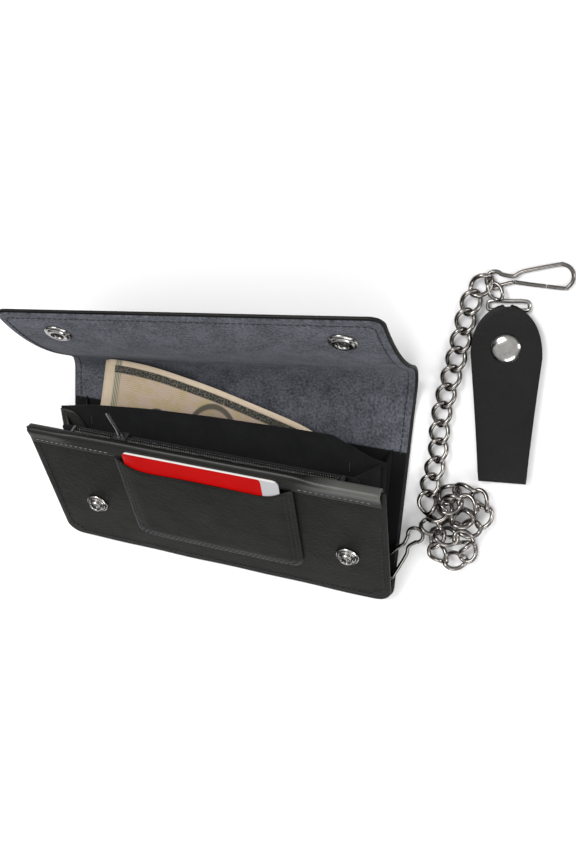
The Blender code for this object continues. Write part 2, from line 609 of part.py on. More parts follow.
def make_chain():
    run = [(x * MM, y * MM, CHAIN / 2) for x, y in CHAIN_RUN]
    wire("chain_run", smooth(run, 2.2 * CHAIN), CHAIN, nickel("chain_run"))
    bm = bmesh.new()
    bmesh.ops.create_cone(bm, cap_ends=True, segments=24, radius1=1.0, radius2=0.82, depth=1.0)
    bmesh.ops.scale(bm, vec=(*HEAP_HALF, HEAP_HEIGHT), verts=bm.verts)
    mesh = bpy.data.meshes.new("chain_heap")
    bm.to_mesh(mesh)
    bm.free()
    middle = HEAP_CENTRE + Vector((0, 0, HEAP_HEIGHT / 2))
    add("chain_heap", mesh, nickel("chain_heap"), Matrix.Translation(middle))


def fob_half_width(t):
    """Half the strap's width, from its fold at 0 to its round top at 1."""
    wide = FOB_NARROWEST + (FOB_WIDEST - FOB_NARROWEST) * min(1.0, t / 0.74) ** 1.2
    if t > 0.74:
        wide = FOB_WIDEST * math.sqrt(max(0.0, 1 - ((t - 0.74) / 0.26) ** 2.2))
    return wide


def fob_outline(start, length):
    ts = [start / length + (1 - start / length) * i / 22 for i in range(23)]
    right = [(fob_half_width(t), t * length) for t in ts]
    return right + [(-x, y) for x, y in reversed(right[:-1])]


def make_fob():
    """The strap's two leaves, joined by its fold, with a snap through them and the ring at the top."""
    along = (FOB_TOP - FOB_FOLD).normalized()
    side = along.cross(Vector((0, 0, 1)))
    length = (FOB_TOP - FOB_FOLD).length
    place = Matrix.Translation(FOB_FOLD) @ Matrix((side, along, Vector((0, 0, 1)))).transposed().to_4x4()
    snap = 0.775 * length
    start = FOB_LEATHER + FOB_GAP / 2 + 1.6 * MM
    bore = circle(0, snap, 2.6 * MM)
    upper = FOB_LEATHER + FOB_GAP
    rear, front = fob_outline(start, length * 0.965), fob_outline(start, length)
    plate("fob_rear_leaf", [rear, bore], 0.0, FOB_LEATHER, leather("fob_rear_leaf"), place)
    plate("fob_front_leaf", [front, bore], upper, FOB_LEATHER, leather("fob_front_leaf"), place)
    radius = FOB_LEATHER + FOB_GAP / 2
    inner = FOB_GAP / 2
    turns = [math.radians(90 + 180 * i / 8) for i in range(9)]
    bend = [(start - GAP, 2 * radius),
            *[(radius + radius * math.cos(a), radius + radius * math.sin(a)) for a in turns],
            (start - GAP, 0.0), (start - GAP, radius - inner),
            *[(radius + inner * math.cos(a), radius + inner * math.sin(a)) for a in reversed(turns)],
            (start - GAP, radius + inner)]
    sideways = place @ Matrix(((0, 0, 1, 0), (1, 0, 0, 0), (0, 1, 0, 0), (0, 0, 0, 1)))
    half = FOB_NARROWEST
    plate("fob_fold", [bend], -half, 2 * half, leather("fob_fold"), sideways)
    at = place @ Matrix.Translation((0, snap, 0))
    top = (upper + FOB_LEATHER) / MM
    cap = [(0, top + 2.6), (3.6, top + 2.3), (6.2, top + 1.4), (7.2, top + GAP / MM), (2.2, top + GAP / MM),
           (2.2, 3.4), (0, 3.4)]
    turned("fob_snap_cap", [(r * MM, z * MM) for r, z in cap], nickel("fob_snap_cap"), at)
    post = [(0, 3.1), (2.2, 3.1), (2.2, 0.3), (2.2, 0.05), (0, 0.05)]
    turned("fob_snap_stud", [(r * MM, z * MM) for r, z in post], nickel("fob_snap_stud"), at)
    make_fob_ring(place, length)


def make_fob_ring(place, length):
    """A flat rectangular ring that lies behind the strap and stands out over its top."""
    half, low, high, bar = 10.6 * MM, length * 0.965 + GAP, length + 2.6 * MM, 2.2 * MM
    outer = rounded(-half, half, low, high, (0.8 * MM,) * 4, 3)
    inner = rounded(-half + bar, half - bar, low + 0.8 * MM, high - 1.2 * MM, (0.3 * MM,) * 4, 3)
    plate("fob_ring", [outer, inner], 0.2 * MM, 1.4 * MM, nickel("fob_ring"), place)


def main():
    for obj in list(bpy.data.objects):
        bpy.data.objects.remove(obj)
    for collection in (parts, cutters):
        bpy.context.scene.collection.children.link(collection)
    make_back()
    make_fold_and_flap()
    make_front()
    make_pocket_and_card()
    make_zip()
    make_partition_and_gussets()
    make_note()
    make_chain_tab()
    make_hooks()
    make_chain()
    make_fob()
    bpy.context.view_layer.update()


main()
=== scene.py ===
"""The looks of the chain wallet: leather, suede lining, stitching, zip, hardware, chain and belt fob.

Lengths are in millimetres and are turned into metres where a mesh or curve is made.
"""
import math
import random

import bmesh
import bpy
import numpy as np
from mathutils import Matrix, Vector


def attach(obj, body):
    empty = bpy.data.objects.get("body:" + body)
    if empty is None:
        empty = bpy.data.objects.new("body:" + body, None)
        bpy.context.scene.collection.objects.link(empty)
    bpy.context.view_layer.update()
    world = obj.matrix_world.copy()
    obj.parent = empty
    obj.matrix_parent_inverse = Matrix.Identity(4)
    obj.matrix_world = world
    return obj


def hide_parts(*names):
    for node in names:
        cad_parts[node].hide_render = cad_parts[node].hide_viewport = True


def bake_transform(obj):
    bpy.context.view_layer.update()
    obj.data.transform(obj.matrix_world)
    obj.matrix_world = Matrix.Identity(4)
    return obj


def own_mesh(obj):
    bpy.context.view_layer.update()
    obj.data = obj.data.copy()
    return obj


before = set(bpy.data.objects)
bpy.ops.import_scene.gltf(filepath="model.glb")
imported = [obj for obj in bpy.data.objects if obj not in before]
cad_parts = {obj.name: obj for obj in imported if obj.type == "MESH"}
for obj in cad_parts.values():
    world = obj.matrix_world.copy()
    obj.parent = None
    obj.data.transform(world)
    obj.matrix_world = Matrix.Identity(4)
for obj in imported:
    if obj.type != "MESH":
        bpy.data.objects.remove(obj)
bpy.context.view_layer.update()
rng = random.Random(7)
MM = 0.001

# ---------------- dimensions

WIDTH = 195.6
LEATHER = 1.3
LINING = 0.6
LINING_TOP = 2.2
SEAM = -3.0
BACK = 95.1
FOLD_RADIUS = 23.2
FLAP_ANGLE = math.radians(76.4)
FOLD = FOLD_RADIUS * FLAP_ANGLE
FLAP = 65.1
CURL = math.radians(-31.9)
CORNER = 6.0
ACROSS = Vector((1.0, 0.11, 0.02)).normalized()
SNAP_X = (("left", -69.8), ("right", 76.0))
SOCKET_AT = 47.2
STUD_AT = 34.6
EDGE_RADIUS = 3.5
FRONT_HINGE = Vector((0.0, -3.5, 4.9))
FRONT_ANGLE = math.radians(30.2)
FRONT = 88.8
FRONT_CORNER = 9.0
FACING_LOW = 80.0
POCKET = (-46.8, 51.1, 16.8, 80.2)
POCKET_CORNER = 8.0
POCKET_SWELL = 1.75
CARD = (-41.1, 44.5, 31.8, 85.75)
CARD_CORNER = 3.2
CARD_THICKNESS = 0.76
ZIP = (-73.0, 76.0)
ZIP_AT = (86.0, -5.9)
TOOTH_PITCH = 1.25
TOOTH = ((-0.25, 1.7, 1.0), (-0.1, 1.0, 1.75), (0.0, 0.05, 1.5), (0.1, 1.0, 1.1), (0.25, 1.7, 1.0))
SLIDER = -44.0
PULL_LEAN = math.radians(15.0)
PARTITION_HINGE = Vector((0.0, -1.5, 3.2))
PARTITION_ANGLE = math.radians(15.3)
PARTITION = (91.3, 84.8)
GUSSET_AT = 89.0
GUSSET_FOOT = 22.0
NOTE = (156.0, 66.0)
NOTE_CENTRE = (-0.8, 60.0, 7.0)
NOTE_TILT = math.radians(5.0)
NOTE_TURN = math.radians(-10.8)
FOB_TOP = Vector((136.4, 160.4, 0.0))
FOB_FOLD = Vector((145.6, 73.6, 0.0))
FOB_LEATHER = 2.3
FOB_GAP = 1.0
WIRE = 1.9
WIRE_SIDES = 14
TURNED_SIDES = 64
HOOK_WIDE = 11.5
HOOK_EYE = 8.0
PITCH = 9.3
LINK_RADIUS = 1.13
LINK_FOOT = 1.1
FLOOR_GAP = 0.05
HEAP_SHARE = 0.58
PARTITION_RISE = ((-1.0, 0.0), (-0.78, 4.0), (-0.45, 7.0), (0.0, 9.5),
                  (0.45, 11.0), (0.70, 11.2), (0.92, 1.4), (1.0, 0.0))


def axes(point, x, y, z):
    return Matrix.Translation(point) @ Matrix((x, y, z)).transposed().to_4x4()


def panel(point, angle):
    return Matrix.Translation(point) @ Matrix.Rotation(angle, 4, "X")


FRONT_PLACE = panel(FRONT_HINGE, FRONT_ANGLE)
PARTITION_PLACE = panel(PARTITION_HINGE, PARTITION_ANGLE)
FLAT = Matrix.Identity(4)

# ---------------- materials


class Nodes:
    """A material's node tree, with short ways to add the nodes that several materials share."""

    def __init__(self, name, colour, roughness, metallic=0.0):
        self.material = bpy.data.materials.new(name)
        self.material.use_nodes = True
        self.tree = self.material.node_tree
        self.shader = self.tree.nodes["Principled BSDF"]
        self.set("Base Color", (*colour, 1.0))
        self.set("Roughness", roughness)
        self.set("Metallic", metallic)
        self.height = None

    def set(self, socket, value):
        self.shader.inputs[socket].default_value = value

    def node(self, kind, **values):
        made = self.tree.nodes.new("ShaderNode" + kind)
        for key, value in values.items():
            if hasattr(made, key):
                setattr(made, key, value)
            else:
                made.inputs[key.replace("_", " ")].default_value = value
        return made

    def link(self, a, b):
        self.tree.links.new(a, b)

    def fed(self, kind, *sources, **values):
        """The outputs of a new node whose first inputs are linked to the given sources."""
        made = self.node(kind, **values)
        for source, socket in zip(sources, made.inputs):
            self.link(source, socket)
        return made.outputs

    def place(self, kind="UV", scale=(1.0, 1.0, 1.0)):
        return self.fed("Mapping", self.node("TexCoord").outputs[kind], Scale=scale)[0]

    def noise(self, at, scale, detail=4.0, roughness=0.6):
        return self.fed("TexNoise", at, Scale=scale, Detail=detail, Roughness=roughness)["Fac"]

    def math(self, operation, a, b):
        return self.fed("Math", a, b, operation=operation)[0]

    def speckled(self, value, at, scale, share):
        """That value with fine grain added, which shifts it by up to half of share either way."""
        grain = self.spread(self.noise(at, scale, 2.0, 0.7), -0.5 * share, 0.5 * share)
        return self.math("ADD", value, grain)

    def split(self, at):
        """A place's X, Y and Z, by name."""
        return self.fed("SeparateXYZ", at)

    def step(self, value, low, high):
        """A value that goes from 0 to 1 as the given one goes from low to high, in millimetres."""
        return self.fed("MapRange", value, From_Min=low * MM, From_Max=high * MM)[0]

    def over(self, base, mask, colour):
        """The base with a colour laid over it where the mask is 1; each is a tuple or a socket."""
        mix = self.node("MixRGB")
        self.link(mask, mix.inputs["Fac"])
        for socket, value in (("Color1", base), ("Color2", colour)):
            if isinstance(value, tuple):
                mix.inputs[socket].default_value = (*value, 1.0)
            else:
                self.link(value, mix.inputs[socket])
        return mix.outputs[0]

    def cells(self, at, scale, feature="F1"):
        return self.fed("TexVoronoi", at, feature=feature, Scale=scale)["Distance"]

    def ramp(self, value, stops):
        made = self.node("ValToRGB")
        elements = made.color_ramp.elements
        for element, (position, colour) in zip(elements[:], (stops[0], stops[-1])):
            element.position = position
            element.color = (*colour, 1.0)
        for position, colour in stops[1:-1]:
            elements.new(position).color = (*colour, 1.0)
        self.link(value, made.inputs[0])
        return made.outputs[0]

    def spread(self, value, low, high):
        return self.fed("MapRange", value, To_Min=low, To_Max=high)[0]

    def bump(self, value, distance, strength=1.0):
        made = self.node("Bump", Distance=distance * MM, Strength=strength)
        self.link(value, made.inputs["Height"])
        if self.height is not None:
            self.link(self.height, made.inputs["Normal"])
        self.height = made.outputs[0]
        self.link(self.height, self.shader.inputs["Normal"])

    def drive(self, value, socket):
        self.link(value, self.shader.inputs[socket])


def toned(colour, share):
    return tuple(c * share for c in colour)


def leather(name, colour=(0.0062, 0.0064, 0.0052), grain=0.9, roughness=(0.36, 0.55), kind="UV"):
    """Smooth black chrome-tanned leather: pebbled grain, pores, broad handling marks."""
    m = Nodes(name, colour, 0.45)
    at = m.place(kind)
    m.bump(m.noise(at, 35.0, 2.0), 0.8, 0.4)
    m.bump(m.cells(at, 700.0, "SMOOTH_F1"), 0.14 * grain, 0.8)
    m.bump(m.noise(at, 2200.0, 3.0), 0.05 * grain, 0.7)
    m.drive(m.spread(m.noise(at, 60.0, 5.0), *roughness), "Roughness")
    dark, light = toned(colour, 0.35), toned(colour, 1.9)
    worn = m.speckled(m.noise(at, 24.0, 6.0, 0.7), at, 900.0, 0.35)
    m.drive(m.ramp(worn, [(0.3, dark), (0.75, light)]), "Base Color")
    m.set("Specular IOR Level", 0.2)
    return m.material


def painted_highlight_leather(name, near, far, border, soft):
    """Smooth leather with a painted highlight: it turns pale from one place on across its width, along its
    upper part, for the light on a rolled edge.
    """
    m = Nodes(name, near, 0.4)
    at = m.place()
    split = m.split(at)
    across = m.step(split["X"], border - soft, border + soft)
    upper = m.step(split["Y"], 6.5, 11.0)
    # Painted highlight: the pale colour where both masks meet stands in for light on the rolled edge.
    m.drive(m.ramp(m.math("MULTIPLY", across, upper), [(0.0, near), (1.0, far)]), "Base Color")
    m.bump(m.cells(at, 800.0, "SMOOTH_F1"), 0.05, 0.6)
    m.bump(m.noise(at, 2400.0, 3.0), 0.03, 0.5)
    m.drive(m.spread(m.noise(at, 90.0, 5.0), 0.3, 0.45), "Roughness")
    m.set("Specular IOR Level", 0.3)
    return m.material


def suede(name, colour, spread=0.28, kind="UV"):
    """Brushed split leather: a fine nap that lies in patches, dull and slightly hazy at the edges."""
    m = Nodes(name, colour, 0.95)
    at = m.place(kind)
    patches = m.noise(at, 70.0, 8.0, 0.75)
    dark, light = toned(colour, 1 - spread), toned(colour, 1 + spread)
    m.drive(m.ramp(patches, [(0.32, dark), (0.68, light)]), "Base Color")
    m.bump(m.noise(at, 900.0, 6.0, 0.7), 0.12, 0.7)
    m.bump(m.noise(at, 4000.0, 3.0), 0.05, 0.8)
    m.set("Sheen Weight", 0.08)
    m.set("Sheen Roughness", 0.6)
    m.set("Sheen Tint", (0.75, 0.78, 0.9, 1.0))
    m.set("Specular IOR Level", 0.08)
    return m.material


def suede_darker_below(name, upper, lower, border, soft):
    """The lining: blue-grey suede that changes to black below a line across it."""
    m = Nodes(name, upper, 0.95)
    at = m.place()
    above = m.step(m.split(at)["Y"], border - soft, border + soft)
    patches = m.speckled(m.noise(at, 80.0, 9.0, 0.78), at, 750.0, 1.0)
    dark, light = toned(upper, 0.45), toned(upper, 1.55)
    shade = m.ramp(patches, [(0.30, dark), (0.70, light)])
    m.drive(m.over(lower, above, shade), "Base Color")
    m.bump(m.noise(at, 900.0, 6.0, 0.7), 0.14, 0.7)
    m.bump(m.noise(at, 4200.0, 3.0), 0.05, 0.8)
    m.set("Sheen Weight", 0.12)
    m.set("Sheen Roughness", 0.5)
    m.set("Sheen Tint", (0.75, 0.78, 0.88, 1.0))
    m.set("Specular IOR Level", 0.12)
    return m.material


def plated(name, colour=(0.37, 0.36, 0.345), roughness=(0.10, 0.24), scratches=0.02):
    """Polished nickel plate with fine wear."""
    m = Nodes(name, colour, 0.2, 1.0)
    at = m.place("Object")
    m.drive(m.spread(m.noise(at, 260.0, 6.0, 0.7), *roughness), "Roughness")
    dark = toned(colour, 0.72)
    m.drive(m.ramp(m.noise(at, 420.0, 4.0), [(0.25, dark), (0.6, colour)]), "Base Color")
    m.bump(m.noise(at, 1500.0, 3.0), scratches, 0.4)
    return m.material


def thread(name, colour):
    m = Nodes(name, colour, 0.7)
    at = m.place("Object")
    m.bump(m.noise(at, 2500.0, 2.0), 0.05, 0.7)
    m.drive(m.ramp(m.noise(at, 900.0, 3.0), [(0.3, toned(colour, 0.7)), (0.7, colour)]), "Base Color")
    return m.material


def woven(name, colour):
    """Zip tape: a tight woven ribbon."""
    m = Nodes(name, colour, 0.85)
    at = m.place("Object", (2600.0, 2600.0, 2600.0))
    weave = m.fed("TexWave", at, Scale=1.0, Distortion=0.6)["Fac"]
    m.bump(weave, 0.08, 0.8)
    m.drive(m.ramp(weave, [(0.2, toned(colour, 0.6)), (0.8, colour)]), "Base Color")
    return m.material


def card_face():
    """A generic card: red field, white edge strip along the top, pale panel at the right end."""
    m = Nodes("card_print", (0.6, 0.008, 0.012), 0.28)
    at = m.place()
    split = m.split(at)
    white, red, grey = (0.66, 0.65, 0.63), (0.44, 0.0025, 0.002), (0.42, 0.42, 0.43)
    length, height = CARD[1] - CARD[0], CARD[3] - CARD[2]
    top = m.step(split["Y"], height - 0.75, height - 0.6)
    end = m.step(split["X"], length - 9.5, length - 9.2)
    field = m.ramp(m.noise(at, 40.0, 3.0), [(0.3, toned(red, 0.85)), (0.7, red)])
    m.drive(m.over(m.over(field, end, grey), top, white), "Base Color")
    m.bump(m.noise(at, 500.0, 2.0), 0.01, 0.3)
    m.set("Specular IOR Level", 0.12)
    return m.material


def note_print():
    """A generic printed note: engraved line work, a dark ornamental border band and an oval medallion."""
    m = Nodes("note_print", (0.6, 0.55, 0.43), 0.85)
    at = m.place()
    paper = (0.60, 0.49, 0.36)
    lines = m.fed("TexWave", at, wave_type="RINGS", Scale=260.0, Distortion=3.0, Detail=1.0)["Fac"]
    engraved = m.ramp(lines, [(0.35, toned(paper, 0.68)), (0.6, (0.50, 0.39, 0.30))])
    tint = m.ramp(m.noise(at, 120.0, 3.0), [(0.45, (1.0, 0.97, 0.98)), (0.62, (0.93, 0.92, 0.70))])
    tinted = m.node("MixRGB", blend_type="MULTIPLY", Fac=1.0)
    m.link(engraved, tinted.inputs["Color1"])
    m.link(tint, tinted.inputs["Color2"])
    split = m.split(at)
    soft = 0.25

    def band(axis, low, high):
        """1 between two lines across the note and 0 outside them."""
        return m.math("MULTIPLY", m.step(split[axis], low - soft, low + soft),
                      m.step(split[axis], high + soft, high - soft))

    cells = m.cells(at, 620.0, "DISTANCE_TO_EDGE")
    lace = m.ramp(cells, [(0.01, (0.22, 0.20, 0.15)), (0.05, (0.022, 0.022, 0.018))])
    margin = m.ramp(m.noise(at, 300.0, 3.0), [(0.3, toned(paper, 0.9)), (0.7, paper)])
    bars = m.fed("TexWave", at, wave_type="BANDS", bands_direction="X", Scale=330.0, Distortion=0.4)["Fac"]
    hatch = m.ramp(bars, [(0.4, (0.10, 0.12, 0.08)), (0.7, (0.50, 0.42, 0.31))])
    look = m.over(margin, band("X", 5.0, 151.0), tinted.outputs[0])
    layers = (("Y", 62.8, 70.0, margin), ("Y", -4.0, 3.2, margin), ("X", 5.8, 9.6, hatch),
              ("Y", 58.4, 62.8, lace), ("Y", 3.2, 7.4, lace), ("X", -5.0, 5.8, margin))
    for axis, low, high, layer in layers:
        look = m.over(look, band(axis, low, high), layer)
    white, black = (0.9,) * 3, (0.0,) * 3
    for centre, radii, ink in (((68.0, 33.0), (17.5, 26.0), (0.055, 0.052, 0.04)),
                               ((35.0, 36.0), (7.5, 7.5), (0.03, 0.03, 0.025))):
        shift = m.fed("Mapping", at, Location=(-centre[0] / radii[0], -centre[1] / radii[1], 0.0),
                      Scale=(1 / radii[0] / MM, 1 / radii[1] / MM, 0.0))[0]
        away = m.fed("VectorMath", shift, operation="LENGTH")["Value"]
        ring = m.ramp(away, [(0.80, (0.25,) * 3), (0.84, white), (0.93, white), (0.97, black)])
        look = m.over(look, ring, ink)
    m.drive(look, "Base Color")
    m.bump(m.noise(at, 700.0, 3.0), 0.04, 0.5)
    return m.material


BLUE_GREY = (0.074, 0.077, 0.090)
LEATHER_LOOK = leather("black_leather")
# The facing's pale right end along its top is a painted highlight on its rolled edge.
FACING_LOOK = painted_highlight_leather("facing_leather", (0.0085, 0.0085, 0.0075), (0.085, 0.085, 0.078), 66.0, 8.0)
EDGE_LEATHER = leather("strap_leather", (0.0026, 0.0029, 0.0025), 1.0, (0.42, 0.6), "Object")
# The cheek gets a paler copy of the black leather: painted light on it.
LIT_CHEEK_LEATHER = leather("cheek_leather", (0.026, 0.027, 0.024), 0.7, (0.35, 0.5))
LINING_LOOK = suede_darker_below("lining_suede", BLUE_GREY, (0.0045, 0.0045, 0.0045), 80.0, 0.4)
BLACK_SUEDE = suede("black_suede", (0.0052, 0.0052, 0.0048), 0.5)
NICKEL = plated("nickel_plate")
CHAIN_LOOK = plated("chain_plate", (0.25, 0.235, 0.22), (0.10, 0.22), 0.03)
HOOK_LOOK = plated("hook_plate", (0.17, 0.16, 0.15), (0.10, 0.20), 0.03)
# Dark metal for the zip's teeth and pull, also used as painted shade on the discs in the snaps' hollows.
GUNMETAL_AND_SHADE = plated("zip_metal", (0.16, 0.155, 0.15), (0.25, 0.4))
SLIDER_METAL = plated("slider_metal", (0.22, 0.215, 0.21), (0.3, 0.45))
TAPE = woven("zip_weave", (0.014, 0.014, 0.015))
DARK_THREAD = thread("dark_thread", (0.012, 0.012, 0.016))
PALE_THREAD = thread("grey_thread", (0.20, 0.20, 0.19))
DIM_THREAD = thread("dim_thread", (0.045, 0.045, 0.042))

# ---------------- making pieces


def final(name, bm, look, smooth=True):
    mesh = bpy.data.meshes.new(name)
    bm.to_mesh(mesh)
    bm.free()
    obj = bpy.data.objects.new(name, mesh)
    bpy.context.scene.collection.objects.link(obj)
    mesh.materials.append(look)
    if smooth:
        mesh.shade_smooth()
    return obj


def baked(obj):
    """The object with its modifiers made part of its mesh."""
    graph = bpy.context.evaluated_depsgraph_get()
    mesh = bpy.data.meshes.new_from_object(obj.evaluated_get(graph))
    mesh.transform(obj.matrix_world)
    obj.modifiers.clear()
    obj.data = mesh
    obj.matrix_world = FLAT
    return obj


def bevelled(obj, width, segments=2, angle=35.0):
    edge = obj.modifiers.new("edge", "BEVEL")
    edge.width = width * MM
    edge.segments = segments
    edge.limit_method = "ANGLE"
    edge.angle_limit = math.radians(angle)
    return obj


def fit(obj, slot, body, *nodes):
    """Attach a piece to the body it rides on and hide the CAD nodes it replaces; the slot is not used."""
    if nodes:
        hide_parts(*nodes)
    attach(obj, body)


def in_mm(place):
    """The same placing, for points in millimetres."""
    return Matrix.Translation(place.translation / MM) @ place.to_3x3().to_4x4()


def corner_cut(corner, near):
    """How far a rounded corner stands in from the straight edge, at that distance from the end."""
    return corner - math.sqrt(max(0.0, corner ** 2 - max(0.0, corner - near) ** 2))


def smoothstep(x, low, high):
    t = min(1.0, max(0.0, (x - low) / (high - low)))
    return t * t * (3 - 2 * t)


def steps(low, high, count, cluster=0.0):
    """Values from low to high, closer together near both ends when cluster is more than 0."""
    out = []
    for i in range(count + 1):
        t = i / count
        eased = 0.5 - 0.5 * math.cos(math.pi * t)
        out.append(low + (high - low) * (t * (1 - cluster) + eased * cluster))
    return out


def sheet(name, surface, us, vs, thickness, look, edge=0.3, place=FLAT):
    """A closed sheet of even thickness whose middle is surface(u, v), with soft edges and UVs in metres."""
    bm = bmesh.new()
    uv = bm.loops.layers.uv.new("UVMap")
    grid = [[surface(u, v) for u in us] for v in vs]
    rows, cols = len(vs), len(us)

    def normal(r, c):
        a, b = grid[r][max(c - 1, 0)], grid[r][min(c + 1, cols - 1)]
        p, q = grid[max(r - 1, 0)][c], grid[min(r + 1, rows - 1)][c]
        return (b - a).cross(q - p).normalized()

    sides = []
    normals = [[normal(r, c) for c in range(cols)] for r in range(rows)]
    for sign in (0.5, -0.5):
        sides.append([[bm.verts.new(place @ (grid[r][c] + normals[r][c] * thickness * sign) * MM)
                       for c in range(cols)] for r in range(rows)])
    along = [[us[c] * MM for c in range(cols)] for r in range(rows)]

    def face(verts, places):
        made = bm.faces.new(verts)
        for loop, (r, c) in zip(made.loops, places):
            loop[uv].uv = (along[r][c], vs[r] * MM)

    for r in range(rows - 1):
        for c in range(cols - 1):
            ring = [(r, c), (r, c + 1), (r + 1, c + 1), (r + 1, c)]
            face([sides[0][i][j] for i, j in ring], ring)
            face([sides[1][i][j] for i, j in reversed(ring)], list(reversed(ring)))
    rim = ([(0, c) for c in range(cols)] + [(r, cols - 1) for r in range(1, rows)]
           + [(rows - 1, c) for c in range(cols - 2, -1, -1)] + [(r, 0) for r in range(rows - 2, 0, -1)])
    for a, b in zip(rim, rim[1:] + rim[:1]):
        ring = ((0, a), (1, a), (1, b), (0, b))
        face([sides[k][r][c] for k, (r, c) in ring], [at for _, at in ring])
    bmesh.ops.remove_doubles(bm, verts=bm.verts, dist=0.002 * MM)
    bmesh.ops.dissolve_degenerate(bm, edges=bm.edges, dist=0.002 * MM)
    obj = final(name, bm, look)
    if edge:
        baked(bevelled(obj, edge, 2, 50.0))
        obj.data.shade_smooth()
    return obj


def turned(name, profile, look, place):
    """A turned piece from a profile of (radius, height) in millimetres."""
    bm = bmesh.new()
    rings = []
    sides = TURNED_SIDES
    for radius, height in profile:
        if radius == 0:
            rings.append([bm.verts.new((0, 0, height * MM))])
        else:
            rings.append([bm.verts.new((radius * MM * math.cos(2 * math.pi * i / sides),
                                        radius * MM * math.sin(2 * math.pi * i / sides), height * MM))
                          for i in range(sides)])
    loops = list(zip(rings, rings[1:]))
    if len(rings[0]) > 1:
        loops.append((rings[-1], rings[0]))
    for a, b in loops:
        for i in range(sides):
            j = (i + 1) % sides
            corners = [a[i % len(a)], a[j % len(a)], b[j % len(b)], b[i % len(b)]]
            unique = [v for k, v in enumerate(corners) if v not in corners[:k]]
            if len(unique) > 2:
                bm.faces.new(unique)
    bmesh.ops.recalc_face_normals(bm, faces=bm.faces)
    bm.transform(place)
    obj = final(name, bm, look)
    baked(bevelled(obj, 0.16, 3, 25.0))
    obj.data.shade_smooth()
    return obj


def tube(bm, points, radius, sides, closed=False):
    """A round wire along points, in millimetres, with round ends when it is open."""
    count = len(points)
    rings = []
    previous = None
    for i, point in enumerate(points):
        a = points[(i - 1) % count] if closed or i else points[0]
        b = points[(i + 1) % count] if closed or i < count - 1 else points[-1]
        tangent = (b - a).normalized()
        if previous is None:
            previous = tangent.orthogonal().normalized()
        side = (previous - tangent * previous.dot(tangent)).normalized()
        previous = side
        up = tangent.cross(side)
        rings.append([bm.verts.new((point + (side * math.cos(2 * math.pi * k / sides)
                                             + up * math.sin(2 * math.pi * k / sides)) * radius) * MM)
                      for k in range(sides)])
    pairs = list(zip(rings, rings[1:]))
    if closed:
        best = min(range(sides), key=lambda k: (rings[-1][0].co - rings[0][k].co).length)
        pairs.append((rings[-1], rings[0][best:] + rings[0][:best]))
    for a, b in pairs:
        for k in range(sides):
            bm.faces.new((a[k], a[(k + 1) % sides], b[(k + 1) % sides], b[k]))
    if not closed:
        bm.faces.new(rings[0][::-1])
        bm.faces.new(rings[-1])


def wire(name, points, diameter, look, place=FLAT, closed=False):
    bm = bmesh.new()
    tube(bm, [place @ Vector(p) for p in points], diameter / 2, WIRE_SIDES, closed)
    bmesh.ops.recalc_face_normals(bm, faces=bm.faces)
    return final(name, bm, look)


def distances(points):
    """How far along a path each of its points is."""
    return np.concatenate([[0], np.cumsum([(q - p).length for p, q in zip(points, points[1:])])])


def between(far, vectors):
    """A function of distance that goes straight from each vector to the next, at the distances far."""
    table = np.array([v[:] for v in vectors])
    return lambda s: Vector([np.interp(s, far, table[:, k]) for k in range(3)])


def smooth_path(points, step):
    """Evenly spaced points on a smooth curve through the given ones."""
    given = [Vector(p) for p in points]
    ends = [2 * given[0] - given[1], *given, 2 * given[-1] - given[-2]]
    fine = []
    for a, b, c, d in zip(ends, ends[1:], ends[2:], ends[3:]):
        for i in range(16):
            t = i / 16
            fine.append(0.5 * (2 * b + (c - a) * t + (2 * a - 5 * b + 4 * c - d) * t * t
                               + (3 * b - a - 3 * c + d) * t ** 3))
    fine.append(given[-1])
    far = distances(fine)
    at = between(far, fine)
    return [at(s) for s in np.linspace(0, far[-1], max(2, round(far[-1] / step)) + 1)]


def stitches(name, path, lift, look, pitch, length, radius, place=FLAT):
    """A row of sewn stitches along a path of points and normals: each dips in at both ends."""
    points, normals = path
    far = distances(points)
    point_at, normal_at = between(far, points), between(far, normals)
    bm = bmesh.new()
    for i in range(int((far[-1] - length) / pitch) + 1):
        line = []
        for t, rise in ((0.0, -0.25), (0.12, 0.05), (0.5, 0.16), (0.88, 0.05), (1.0, -0.25)):
            s = i * pitch + t * length
            line.append(place @ (point_at(s) + normal_at(s).normalized() * (lift + rise)))
        tube(bm, line, radius, 6)
    return final(name, bm, look)


def dome(radius, height, base):
    """The profile of a shallow dome, from its crown to its rim."""
    return [(radius * math.sin(a), base + height * math.cos(a)) for a in np.linspace(0.0, math.pi / 2, 8)]

# ---------------- back, fold and flap in one sheet


def flap_axes():
    along = Vector((0.0, math.cos(FLAP_ANGLE), math.sin(FLAP_ANGLE)))
    along = (along - ACROSS * along.dot(ACROSS)).normalized()
    return along, ACROSS.cross(along)


ALONG, OUT = flap_axes()
ROOT = Vector((2.3, BACK + FOLD_RADIUS * math.sin(FLAP_ANGLE),
               LINING_TOP + FOLD_RADIUS * (1 - math.cos(FLAP_ANGLE))))
TIP = BACK + FOLD + FLAP


def flap_point(distance):
    """The point of the flap's lined face that far from its root, with the directions along and out of it."""
    point = ROOT.copy()
    count = 16
    for i in range(count):
        turn = CURL * (i + 0.5) / count * distance / FLAP
        point += (ALONG * math.cos(turn) + OUT * math.sin(turn)) * distance / count
    turn = CURL * distance / FLAP
    return point, ALONG * math.cos(turn) + OUT * math.sin(turn), OUT * math.cos(turn) - ALONG * math.sin(turn)


